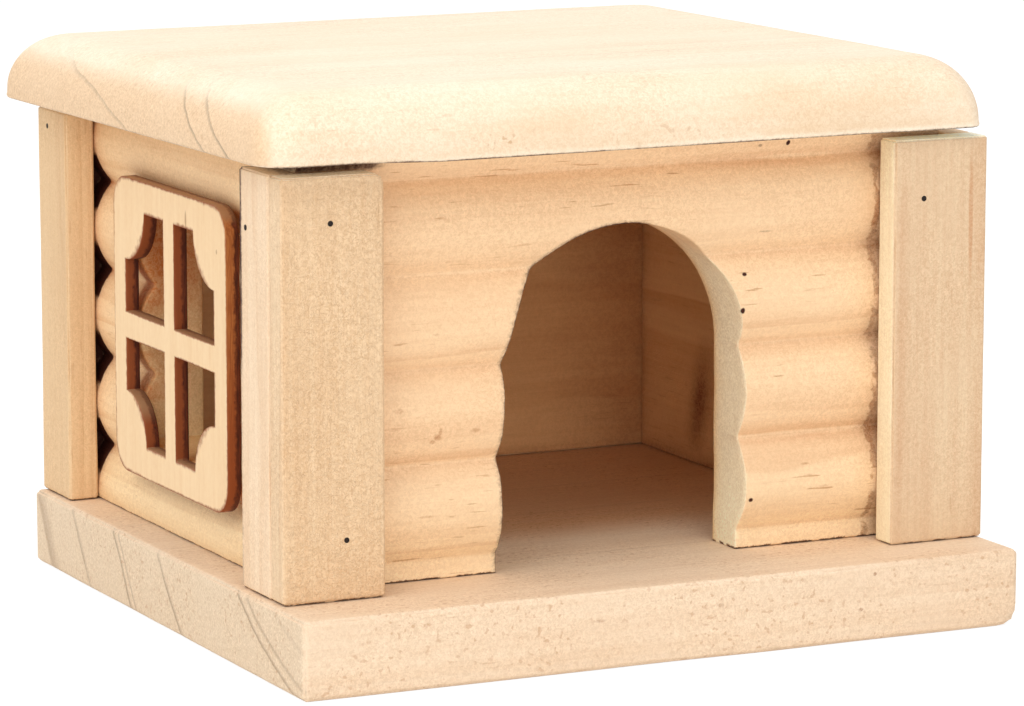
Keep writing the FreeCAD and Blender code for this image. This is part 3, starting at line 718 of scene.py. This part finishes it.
# What the log-milled walls share. Lengths along a wall start at its left end, seen from outside.
# A square hole is given by two of its corners, (along, height).
wallValues = {
    "height": 65.0, "pitch": 14.3, "groove": 3.0, "easing": 0.35, "body": "house",
    "slot": "wall_pine", "evenMarks": ("hollow",), "waverSizes": (13.0, 4.0), "dentSize": 2.5,
    "dentReach": 1.2, "wearReach": 0.8, "endReach": 1.3, "cutReach": 0.34,
    "browning": (0.15, 0.5),  # below and above each groove's middle
}
frontValues = {
    **wallValues, "node": "front_wall", "length": 108.2, "thickness": 11.0, "grooveStart": 3.3,
    "paleFoot": 9.0, "step": 0.85, "waver": 0.18, "dents": 0.25, "seed": 2.0,
    # painted shade in the grooves behind the boards
    "ends": (11.5, 96.7), "covered": ((-1, 11.5), (96.7, 110)), "gapSoot": 0.0, "gapHollow": 0.35,
    # painted shadow at the top of the wall's left end, under the roof; and a dark line along the
    # doorway's edge
    "darkTop": (0, 14.5, 2.6), "cutSoot": lambda along: rise(along, 59.6, -4),
    "hole": {"middle": 53.6, "width": 40.8, "spring": 31.8, "ragged": 0.25, "lean": 0.85,
             "leanAt": 35.0},
    "place": lambda along, depth, up: (along + leftFace, depth + frontFace, up + baseTop),
    "wood": wood(
        grain="x", heart=(0, -90, 62), pale=(249, 215, 174), late=(224, 178, 135),
        # painted light: paler towards the base through the foot tone, and the pale end tone
        # lightens the doorway's sides
        spacing=4.2, rings=0.4, bend=2.0, canals=0.65, foot=(20.0, (1.06, 1.14, 1.17)),
        end=(255, 244, 214), scorch=(172, 108, 56),
        lines=[((0, 0, 1), baseTop, 0.42, 0.36, 1.0, 0.7),
               ((1, 0, 0), 43.2, 0.9, 0.38, 0.75, 0.35)],
        stains=marksOn(-38.5, 3, [
            (-31.2, 34.1, 0.9, 0.8, 0.7), (-31.9, 33.4, 0.7, 0.5, 0.6),
            (-30.8, 34.9, 0.45, 0.9, 0.6), (-25.0, 34.7, 1.1, 0.5, 0.45),
            (-37.5, 38.5, 1.3, 0.6, 0.45), (-37.9, 58.2, 1.4, 0.6, 0.5),
            (-33.2, 22.3, 2.0, 0.3, 0.4), (-31.5, 49.6, 0.9, 0.3, 0.4),
            (31.0, 25.0, 1.0, 0.25, 0.5), (34.3, 21.3, 1.2, 0.3, 0.4)]),
        specks=[((20.5, -38.5, 55.1), (0.6, 2, 0.4), 0.9),
                ((19.9, -39.9, 49.6), (0.5, 1.2, 0.7), 1),
                ((21.6, -39.2, 20.1), (0.55, 2, 0.45), 0.9),
                ((28.1, -38, 74.8), (0.5, 4, 0.6), 1),
                ((23.3, -38, 74.6), (0.6, 4, 0.4), 0.5),
                ((24.0, -38, 61.5), (1.6, 4, 0.3), 0.35),
                # painted shadow at the top of the wall's left end, beside the board
                ((-53.5, -35.5, 76.0), (1.2, 6.0, 1.8), 0.7)]),
}
finish(logWall("frontWall", frontValues), pine("front wall pine", frontValues["wood"]))

sideWallValues = {
    **wallValues, "length": 76.9, "grooveStart": 8.7, "paleFoot": 0.0, "step": 1.0,
    "waver": 0.15, "dents": 0.2, "gapSoot": 1.0, "gapHollow": 1.0,
}
leftValues = {
    **sideWallValues, "node": "left_wall", "thickness": 11.0, "seed": 3.0,
    "evenMarks": ("hollow", "inside"), "ends": (5.0, 90.0), "covered": ((-1, 5.0),),
    "plate": ((19.3, 8.5), (64.7, 54.5)), "hole": ((23.5, 12.7), (60.5, 50.3)),
    "rimShade": lambda up: np.clip(0.12 + (up - 20.7) / 28, 0.12, 1),
    "place": lambda along, depth, up: (depth + leftFace, 48.0 - along, up + baseTop),
    "wood": wood(
        grain="y", heart=(-80, 0, 80), pale=(248, 214, 170), late=(220, 170, 118),
        # painted light: paler towards the base through the foot tone, and on the inner face and
        # the window's reveal through the inner tone
        foot=(18.0, (1.06, 1.15, 1.18)), scorch=(198, 116, 64),
        inner=(1.16, 1.14, 0.92)),
}
finish(logWall("leftWall", leftValues), pine("left wall pine", leftValues["wood"]))

rightValues = {
    **sideWallValues, "node": "right_wall", "thickness": 7.2, "seed": 4.0,
    "ends": (-20.0, 71.9), "covered": ((71.9, 80),),
    "place": lambda along, depth, up: (rightFace - depth, along - 28.9, up + baseTop),
    # painted shade inside: darker at the foot and in the back corner, and in a patch
    "innerShade": lambda along, up: np.maximum(
        np.maximum(0.7 * np.exp(-up / 1.3), 0.6 * np.exp(-(76.9 - along) / 1.5)),
        0.9 * np.exp(-((along - 57.5 + 0.2 * up) / 3.2) ** 2 - ((up - 11) / 8) ** 2)),
    "wood": wood(
        grain="y", heart=(90, 0, 20), pale=(250, 216, 174), late=(222, 170, 118),
        # the inner tone darkens the inner face as painted shade
        rings=0.5, lines=(), inner=(1.05, 0.94, 0.78), scorch=(132, 66, 34), fuzz=0.3),
}
finish(logWall("rightWall", rightValues), pine("right wall pine", rightValues["wood"]))

backValues = {
    "node": "back_wall", "body": "house", "slot": "wall_pine",
    "low": (leftFace, 48.0, baseTop), "high": (rightFace, backFace, wallTop), "easing": 0.4,
    "step": 1.5, "waver": 0.12, "dents": 0.2, "seed": 5.0,
    # painted shade inside: the inner face darker except at its left end, browner towards the right
    # and at the foot, and dark beside both ends below the top
    "room": lambda x, y, z: (y < 48.01) * rise(x, -22, 10),
    "shade": lambda x, y, z: (y < 48.01) * np.maximum(0.45 * rise(x, 14, 30),
                                                      0.7 * np.exp(-(z - baseTop) / 1.3)),
    "sooty": [(((x, 48, 0), (1, 1, 0)), 5.5) for x in (leftFace, rightFace)], "cleanAbove": 75.5,
    "wood": wood(
        grain="x", heart=(0, 120, 30), pale=(246, 210, 164), late=(216, 164, 112),
        rings=0.7, lines=(), fuzz=0.15, scorch=(150, 84, 44)),
}
finish(boardPiece("backWall", backValues), pine("back wall pine", backValues["wood"]))

# Corner boards in front of the walls and side boards beside them; the sides lie 5 mm further out.
outerLeft, outerRight = leftFace - 5, rightFace + 5
# the inner tone here is painted light on the corner boards' left faces and tops, and the pale end
# tone lightens their tops as painted light
cornerWood = wood(heart=(-46, -140, 0), spacing=2.6, rings=0.3, fibres=0.6, fuzz=1.0,
                  pale=(235, 204, 166), late=(207, 160, 113), end=(255, 248, 230),
                  inner=(1.07, 1.12, 1.18), relief=0.7)
boardValues = {
    "frontLeftCornerBoard": {
        "node": "front_left_corner_board", "low": (outerLeft, -44.9, baseTop),
        "high": (-42.0, frontFace, boardTop), "easing": 0.6, "rounded": [((-42.0, 75.0), 2.2)],
        # painted light on the left face and the top; painted shadow on the top towards the back,
        # under the roof
        "room": lambda x, y, z: np.maximum(1.0 * (x < -58.4), rise(z, 73.2, 1.2)),
        "grime": lambda x, y, z: 0.5 * (z > 74.9) * rise(y, -42.0, 2.0),
        "wood": cornerWood},
    "frontRightCornerBoard": {
        "node": "front_right_corner_board", "low": (43.2, -44.9, baseTop),
        "high": (outerRight, frontFace, boardTop),
        # painted light on the left face and the top; pinkish streaks down the front beside both
        # edges
        "room": lambda x, y, z: np.maximum((x < 43.21) * (y > -44.5), 1.0 * (z > 74.9)),
        "shade": lambda x, y, z: (0.3 * np.exp(-(x - 44.6) ** 2) * (x > 43.3)
                                  + 0.35 * np.exp(-((x - 58.9) / 1.1) ** 2)),
        "wood": {**cornerWood, "heart": (52, -120, 0), "spacing": 2.8, "fuzz": 0.8, "relief": 0.4,
                 "pale": (230, 203, 168), "late": (204, 156, 118), "scorch": (196, 138, 94),
                 # a strong inner tone: painted light on the left face and the top
                 "inner": (1.22, 1.47, 1.62),
                 "stains": [((56.8, -44.9, 63.0), (0.5, 2.0, 14.0), 0.65)],
                 "lines": [footLine, ((0, 1, 0), frontFace, 0.5, 0.36, 0.6, 0.7)]}},
    "leftFrontSideBoard": {
        "node": "left_front_side_board", "low": (outerLeft, frontFace, baseTop),
        "high": (leftFace, -28.9, boardTop),
        # painted shadow on the top face under the roof, and a dark strip of painted shadow along
        # the back edge beside the window plate
        "grime": lambda x, y, z: np.maximum(0.5 * (z > 74.9) * rise(x, -57.2, 2.0),
                                            rise(y, -30.3, 0.3) * (0.35 + 0.65 * rise(z, 42, 8))),
        "wood": wood(heart=(-130, -60, 0), pale=(246, 222, 192))},
    "leftBackSideBoard": {
        "node": "left_back_side_board", "low": (outerLeft, 43.0, baseTop),
        "high": (leftFace, backFace, boardTop),
        "wood": wood(heart=(-150, 40, 0), pale=(232, 200, 158), late=(206, 160, 112))},
    "rightFrontSideBoard": {
        "node": "right_front_side_board", "low": (rightFace, frontFace, baseTop),
        "high": (outerRight, -28.9, boardTop), "wood": wood(heart=(140, -20, 0))},
    "rightBackSideBoard": {
        "node": "right_back_side_board", "low": (rightFace, 43.0, baseTop),
        "high": (outerRight, backFace, boardTop), "wood": wood(heart=(150, 60, 0))},
}
for count, (name, values) in enumerate(boardValues.items()):
    shared = {"easing": 0.5, "step": 0.9, "waver": 0.12, "dents": 0.35, "seed": 6.0 + count,
              "body": "house", "slot": "board_pine"}
    finish(boardPiece(name, {**shared, **values}), pine(name + " pine", values["wood"]))

plateValues = {
    "node": "window_frame", "body": "house", "slot": "plywood",
    "size": (46.4, 47.0), "thickness": 2.2, "cornerRound": 4.8, "rim": 5.1, "bars": (4.4, 4.3),
    "scallop": 8.0, "middle": (leftFace, 6.0, 43.5), "rayStart": 5.2, "rays": 150,
    "easing": 0.12, "scorchReach": 0.3,
    "face": (244, 214, 172), "band": (232, 194, 148), "burnt": (142, 72, 34),
    "toasted": (182, 114, 60), "upward": (166, 122, 86), "char": (70, 28, 14),
    "ember": (112, 52, 26), "knot": (150, 104, 66),
    "knots": [((-55.7, -1.2, 63.4), (1.0, 0.45, 1.7), 0.6),
              ((-55.7, -13.5, 60.0), (1.0, 0.4, 0.5), 0.5)],
}


def windowPlate(name, values):
    # one quarter of the plate: rays from a point inside its pane cross the pane's outline, then
    # the quarter's own. Points lie on the rays between the two, and are mirrored three times.
    half, low = np.array(values["size"]) / 2, np.array(values["bars"]) / 2
    high, centre, easing = half - values["rim"], low + values["rayStart"], values["easing"]
    scallop, rounding, thickness = values["scallop"], values["cornerRound"], values["thickness"]
    bend = half - rounding
    corners = np.array([low, (high[0], low[1]), (high[0], high[1] - scallop),
                        (high[0] - scallop, high[1]), (low[0], high[1]), (0, 0), (half[0], 0),
                        (half[0], bend[1]), (bend[0], half[1]), (0, half[1])]) - centre
    angles = np.concatenate([np.linspace(-np.pi, np.pi, values["rays"])[:-1],
                             np.arctan2(*corners.T[::-1])])
    angles = np.unique(np.round(angles, 5))
    ray = np.stack([np.cos(angles), np.sin(angles)], 1)

    def toBox(near, far):
        with np.errstate(divide="ignore"):
            return (np.where(ray > 0, far - centre, near - centre) / ray).min(axis=1)

    def toCircle(middle, radius, side):
        away = centre - middle
        slope = ray @ away
        room = slope ** 2 - (away @ away - radius ** 2)
        return np.where(room >= 0, -slope + side * np.sqrt(np.maximum(room, 0)), np.inf)

    inner, disc = toBox(low, high), toCircle(high, scallop, -1)
    inner = np.where(disc > 0, np.minimum(inner, disc), inner)
    outer = toBox(0 * half, half)
    roundCorner = (centre + ray * outer[:, None] > bend).all(axis=1)
    outer = np.where(roundCorner, toCircle(bend, rounding, 1), outer)
    span, near = (outer - inner)[:, None], nearEdge(easing, 4)
    share = np.linspace(0, 1, 9)[None] ** 0.8
    gap = np.concatenate([near[:-1] + 0 * span, near[-1] + (span - 2 * near[-1]) * share,
                          span - near[:-1][::-1]], axis=1)
    flat = centre + ray[:, None, :] * (inner[:, None] + gap)[..., None]
    beyond = np.maximum(flat - bend, 0)
    rim = np.where((beyond > 0).all(-1), rounding - np.hypot(beyond[..., 0], beyond[..., 1]),
                   (half - flat).min(-1))
    edge = np.maximum(np.minimum(rim, gap), 0)
    burn = np.exp(-edge / values["scorchReach"])
    sink = easedDepth(edge, easing)[..., None]
    front = np.concatenate([flat, sink], -1)
    behind = np.concatenate([flat, thickness - sink], -1)
    # the loop across one ray: out over the front, through the outer edge, back, and along the pane
    steps = np.linspace(0, 1, 6)[1:-1, None]
    outside = front[:, -1:, :] + (behind[:, -1:, :] - front[:, -1:, :]) * steps
    insideWall = behind[:, :1, :] + (front[:, :1, :] - behind[:, :1, :]) * steps
    loop = np.concatenate([front, outside, behind[:, ::-1], insideWall, front[:, :1]], axis=1)
    cut = np.ones((len(angles), 4))
    burnLoop = np.concatenate([burn, cut, burn[:, ::-1], cut, burn[:, :1]], axis=1)
    onSeam = (np.abs(flat[:, -1]) < 1e-3).any(-1)
    loop, burnLoop, onSeam = (np.concatenate([part, part[:1]])  # closes the way round the pane
                              for part in (loop, burnLoop, onSeam))
    rays, places = loop.shape[:2]
    keep = np.ones((rays - 1, places - 1), dtype=bool)
    keep[onSeam[:-1] & onSeam[1:], front.shape[1] - 1:front.shape[1] + 4] = False
    quads = gridQuads(rays, places)[keep.reshape(-1)]
    x, y, z = values["middle"]
    points, faces = [], []
    for index, (flipY, flipZ) in enumerate(((1, 1), (-1, 1), (-1, -1), (1, -1))):
        points.append(np.stack([x - thickness + loop[..., 2], y + flipY * loop[..., 0],
                                z + flipZ * loop[..., 1]], -1).reshape(-1, 3))
        turned = quads if flipY * flipZ > 0 else quads[:, ::-1]
        faces.append(turned + index * rays * places)
    return makePiece(name, np.concatenate(points), np.concatenate(faces),
                     {"burn": np.tile(burnLoop.reshape(-1), 4)}, values)


def plywood(name, values):
    # thin birch ply: streaked face, darker bands in the cut, scorched beside every cut
    material, tree = newMaterial(name)
    coordinates = put(tree, "TexCoord")
    position = mapped(coordinates["Object"], perMetre)
    tones = {key: tone(*values[key]) for key in
             ("face", "band", "burnt", "toasted", "upward", "char", "ember", "knot")}
    fine = stretched(position, (4.0, 5.0, 0.3), 6.0, 3.0, 0.65)
    fuzz = noise(position, 1.1, 4.0)
    mixed = fine * 0.5 + stretched(position, (0.8, 0.9, 0.06), 2.0, 3.0, 0.6) * 0.8
    face = blendColour(smoothRange(fuzz * 0.4 + mixed, 0.5, 1.5), tones["face"], tones["band"])
    for mark in values["knots"]:
        face = blendColour(speck(position, *mark), face, tones["knot"])
    # the cut is burnt, with painted light: paler on the plate's upper outside than lower down and
    # in the panes, and paler on edges that face up; it is charred towards the back
    apart = put(tree, "SeparateXYZ", {0: position})
    toasted = smoothRange(abs(apart["Y"] - values["middle"][1]), 19.0, 22.0)
    toasted = toasted * smoothRange(apart["Z"], 26.0, 56.0)
    toasted = toasted * (smoothRange(fine, 0.4, 0.62) * 0.6 + 0.4)
    burnt = blendColour(toasted, tones["burnt"], tones["toasted"])
    plateFace = values["middle"][0] - values["thickness"]
    core = smoothRange((fuzz - 0.5) * 1.2 + apart["X"], plateFace + 1.0, plateFace + 1.6)
    charred = blendColour(smoothRange(fine, 0.35, 0.7), tones["char"], tones["ember"])
    burnt = blendColour(core, burnt, charred)
    upward = put(tree, "SeparateXYZ", {0: coordinates["Normal"]})["Z"]
    upward = smoothRange(upward, 0.4, 0.8) * (1.0 - core * 0.6)
    burnt = blendColour(upward, burnt, tones["upward"])
    burn = smoothRange((fuzz - 0.5) * 0.5 + attribute(tree, "burn"), 0.3, 0.8)
    colour = blendColour(burn, face, burnt)
    coat(tree, colour, fine * 0.2 + 0.5, mixed, 0.3, 0.0002, **{"Specular IOR Level": 0.25})
    return material


finish(windowPlate("windowPlate", plateValues), plywood("scorched plywood", plateValues))

roofValues = {
    "node": "roof_board", "body": "roof", "slot": "roof_pine",
    "length": 122.0, "depth": 105.5, "thickness": 10.4, "edgeRound": 9.0, "cornerRound": 6.0,
    "underEdge": 0.5, "offset": (-3.2, 4.4, 77.0), "turn": 1.5, "step": 1.2, "waver": 0.12,
    "cornerShrink": 0.45, "leastCorner": 1.6, "tightRound": 1.8, "tightPull": 1.45,
    "tightBelow": 7.28, "overhang": (45, 4),  # the front overhang's start, and how it sets in
    "frontSag": (0.58, -48, 12), "cornerSag": (0.1, 36, 12),  # amount, start and length along x
    "rightSag": (0.35, 55, 3.5),
    "wood": wood(
        grain="x", heart=(-4.6, 59.3, -66.0), pale=(250, 234, 211), late=(234, 204, 166),
        chart=[(154.0, 0.4, 0.5), (168.0, 0.75, 0.4), (172.0, 0.8, 0.42),
               (183.0, 0.25, 0.5)],
        spacing=4.5, rings=0.2, end=(234, 200, 162), line=(142, 124, 104), fuzz=0.65,
        pores=0.15, lines=(), scorch=(228, 192, 150),
        rough=[((-55, -43, 79), (7, 4, 4), 0.9), ((-59, -30, 79), (4, 9, 4), 0.7),
               ((-22, -47, 79), (14, 4, 2.5), 0.7), ((8, -46, 79), (12, 4, 2.5), 0.5),
               ((36, -45, 79), (10, 4, 2.0), 0.6)]),
}


def roundedOutline(halfX, halfY, radii, counts):
    # once round a rectangle: its front side, the quarter circle after it, and so on
    arc = np.radians(np.linspace(0, 90, 13)[1:-1])
    signs = np.array([(1, -1), (1, 1), (-1, 1), (-1, -1)])
    centres = signs * (np.array([halfX, halfY]) - np.array(radii)[:, None])
    parts = []
    for i, (centre, radius) in enumerate(zip(centres, radii)):
        angle = math.radians(90 * i - 90)
        facing = np.round([math.cos(angle), math.sin(angle)])
        start, end = centres[i - 1] + radii[i - 1] * facing, centre + radius * facing
        parts.append(start + (end - start) * np.linspace(0, 1, counts[i % 2])[:, None])
        parts.append(centre + radius * np.stack([np.cos(angle + arc), np.sin(angle + arc)], 1))
    return np.concatenate(parts)


def roofBoard(name, values):
    # a profile carried round the board's outline. At each place of the profile the outline is
    # drawn in by some inset, its corners keep a radius, and its height follows the quarter round.
    a, b, top = values["length"] / 2, values["depth"] / 2, values["thickness"]
    big, under, turn = values["edgeRound"], values["underEdge"], math.radians(values["turn"])
    tightTop = values["tightBelow"]
    low, bend = np.radians(np.linspace(0, 90, 6)), np.radians(np.linspace(0, 90, 22))
    inset = np.concatenate([under * (1 - np.sin(low)), [0.0], big * (1 - np.cos(bend))])
    height = np.concatenate([under * (1 - np.cos(low)), [(under + top - big) / 2],
                             top - big + big * np.sin(bend)])
    counts = [int(values[side] / values["step"]) for side in ("length", "depth")]
    rings = []
    for drawnIn, level in zip(inset, height):  # the front right corner is tighter low down
        corner = values["cornerRound"] - values["cornerShrink"] * drawnIn
        corner = max(corner, values["leastCorner"])
        tight = corner + (values["tightRound"] - corner) * max(1 - level / tightTop, 0)
        rings.append(roundedOutline(a - drawnIn, b - drawnIn, (tight, corner, corner, corner),
                                    counts))
    rings = np.stack(rings)
    rings = np.concatenate([rings, rings[:, :1]], axis=1)  # closes the way round
    shrink = np.linspace(0, 1, 40)[:-1, None, None]
    plan = np.concatenate([rings[0] * shrink, rings, rings[-1] * shrink[::-1]])
    heights = np.concatenate([0 * shrink, height[:, None, None], 0 * shrink + top])
    local = np.concatenate([plan, np.broadcast_to(heights, plan.shape[:2] + (1,))], -1)
    outward = local - np.clip(local, [-a + big, -b + big, 0], [a - big, b - big, top - big])
    outward[..., 2] = np.where(local[..., 2] < 0.01, -1, np.maximum(outward[..., 2], 0))
    outward /= np.linalg.norm(outward, axis=-1, keepdims=True).clip(1e-6)
    sink = values["waver"] * (softNoise(local, 19.0, 2.0) + 0.3 * softNoise(local, 6.0, 8.0))
    local = local - outward * np.where(local[..., 2] < 0.6, 0, sink)[..., None]
    # the tight corner keeps its place in the front view, so it is drawn in to the left
    nearCorner = rise(local[..., 0], a - 20, 20) * rise(-local[..., 1], 10, 35)
    local[..., 0] -= values["tightPull"] * nearCorner * rise(local[..., 2], tightTop, -tightTop)
    # the overhang sags a little beyond the walls, at the front and most of all at the right
    x, y = local[..., 0] + values["offset"][0], local[..., 1] + values["offset"][1]
    front, corner, right = (amount * rise(x, start, over) for amount, start, over in
                            (values[key] for key in ("frontSag", "cornerSag", "rightSag")))
    sag = (front + corner) * rise(-y, *values["overhang"]) + right
    local[..., 2] -= sag * rise(local[..., 2], top, -top)
    points = local @ np.array([[math.cos(turn), math.sin(turn), 0],
                               [-math.sin(turn), math.cos(turn), 0], [0, 0, 1]])
    points += values["offset"]
    wear = np.exp(-np.abs(local[..., 2] - top + 0.3 * big) / 2.0) * 0.3
    # a painted shadow line along the lower edge, strongest at the front
    side = np.where(np.abs(local[..., 1] + b) < 1.5, 0.9, 0.45)
    soot = side * np.exp(-(heights[..., 0] / 0.3) ** 2) * (0.55 + 0.6 * softNoise(local, 5.0, 6.6))
    soot[:len(shrink)] = 0
    # painted shade: the front side darker
    shade = 0.5 * np.clip(-outward[..., 1], 0, 1) * (local[..., 2] > 0.05)
    marks = {"wear": wear, "hollow": shade, "soot": soot, "inside": 0 * wear}
    return makePiece(name, points.reshape(-1, 3), gridQuads(*points.shape[:2]),
                     {mark: amount.reshape(-1) for mark, amount in marks.items()}, values)


finish(roofBoard("roof", roofValues), pine("roof pine", roofValues["wood"]))

cleatValues = {
    "leftCleat": {"node": "roof_cleat_left", "start": -41.5, "seed": 14.0},
    "rightCleat": {"node": "roof_cleat_right", "start": 38.5, "seed": 15.0},
}
for name, values in cleatValues.items():
    start = values["start"]
    shape = {"low": (start, -20.9, 69), "high": (start + 8, 40.0, wallTop), "easing": 0.5,
             "step": 1.0, "waver": 0.12, "dents": 0.35, "body": "roof", "slot": "cleat_pine"}
    cleatWood = wood(grain="y", heart=(start + 30, 0, 20), spacing=2.2, lines=())
    finish(boardPiece(name, {**shape, **values}), pine(name + " pine", cleatWood))

bradValues = {
    "head": (40, 26, 18), "rust": (24, 13, 8), "roughness": 0.75, "metallic": 0.3,
    "nodes": ("corner_board_brads", "wall_brads", "base_brads", "cleat_brads"),
}


def bradSteel(name, values):
    # dark wire steel, rusty in spots
    material, tree = newMaterial(name)
    spots = noise(put(tree, "TexCoord")["Object"], 2500.0, 3.0)
    rusty = smoothRange(spots, 0.4, 0.62)
    colour = blendColour(rusty, tone(*values["head"]), tone(*values["rust"]))
    metallic = (1.0 - rusty) * values["metallic"]
    coat(tree, colour, spots * 0.3 + (values["roughness"] - 0.1), spots, 0.4, 0.00005,
         Metallic=metallic)
    return material


steel = bradSteel("brad steel", bradValues)
for nodeName in bradValues["nodes"]:
    finish(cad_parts[nodeName], steel)
print("finishes on")

stageValues = {
    "floorHalf": 3.0, "floor": (245, 243, 240), "floorWhite": 0.86, "floorShade": 0.26,
    "sky": 0.66,
    "lamps": {  # power, place and size
        "key lamp": (5.0, (-0.85, -0.5, 0.8), 0.9), "fill lamp": (0.2, (0.9, -1.0, 0.5), 0.8),
        "top lamp": (3.6, (-0.05, 0.1, 1.3), 0.7), "front lamp": (1.7, (-0.1, -0.75, 1.05), 0.5),
        "low lamp": (2.3, (-0.35, -1.25, 0.22), 0.5)},
    "lens": 174.92, "sensor": 36.0, "azimuth": -25.653, "elevation": 9.564, "distance": 0.78553,
    "target": (-0.000035, 0.0, 0.038536),
}
scene = bpy.context.scene


def directlySeen(tree):
    path = put(tree, "LightPath")
    seen = path["Is Glossy Ray"].math("MAXIMUM", path["Is Transmission Ray"])
    return path["Is Camera Ray"].math("MAXIMUM", seen)


def floorAndSky(values):
    # both look white to the camera, and dimmer where they only throw light back
    x, y = np.meshgrid(*[np.linspace(-1, 1, 3) * values["floorHalf"]] * 2)
    mesh = bpy.data.meshes.new("floor")
    mesh.from_pydata(np.stack([x, y, x * 0], -1).reshape(-1, 3).tolist(), [],
                     gridQuads(3, 3).tolist())
    floor = bpy.data.objects.new("floor", mesh)
    scene.collection.objects.link(floor)
    material, tree = newMaterial("pale floor")
    plain = put(tree, "BsdfDiffuse", {"Color": tone(*values["floor"])})
    faint = put(tree, "BsdfDiffuse", {"Color": [values["floorShade"]] * 3 + [1]})
    white = put(tree, "Emission", {"Color": (1, 1, 1, 1), "Strength": values["floorWhite"]})
    shown = put(tree, "AddShader", {0: faint, 1: white})
    mixed = put(tree, "MixShader", {0: directlySeen(tree), 1: plain, 2: shown})
    put(tree, "OutputMaterial", {"Surface": mixed})
    finish(floor, material)
    scene.world = bpy.data.worlds.new("studio")
    scene.world.use_nodes = True
    tree = scene.world.node_tree
    tree.nodes.clear()
    level = directlySeen(tree) * (1.0 - values["sky"]) + values["sky"]
    sky = put(tree, "Background", {"Color": (1, 1, 1, 1), "Strength": level})
    put(tree, "OutputWorld", {"Surface": sky})


def makeLamps(values):
    for name, (power, place, size) in values["lamps"].items():
        lamp = bpy.data.lights.new(name, "AREA")
        lamp.energy, lamp.shape, lamp.size = power, "DISK", size
        holder = bpy.data.objects.new(name, lamp)
        scene.collection.objects.link(holder)
        holder.location = place
        holder.rotation_euler = Vector(place).to_track_quat("Z", "Y").to_euler()


def makeCamera(values):
    # looks at the target from this azimuth and elevation, at a distance in metres
    azimuth, elevation = math.radians(values["azimuth"]), math.radians(values["elevation"])
    back = Vector((math.sin(azimuth) * math.cos(elevation),
                   -math.cos(azimuth) * math.cos(elevation), math.sin(elevation)))
    camera = bpy.data.objects.new("camera", bpy.data.cameras.new("camera"))
    scene.collection.objects.link(camera)
    camera.data.lens, camera.data.sensor_width = values["lens"], values["sensor"]
    camera.data.sensor_fit = "HORIZONTAL"
    camera.data.clip_start, camera.data.clip_end = 0.05, 50.0
    right = Vector((0, 0, 1)).cross(back).normalized()
    turn = Matrix((right, back.cross(right), back)).transposed()
    place = Vector(values["target"]) + back * values["distance"]
    camera.matrix_world = Matrix.Translation(place) @ turn.to_4x4()
    scene.camera = camera


floorAndSky(stageValues)
makeLamps(stageValues)
makeCamera(stageValues)
scene.view_settings.view_transform = "Standard"
print("floor, lamps and camera placed")
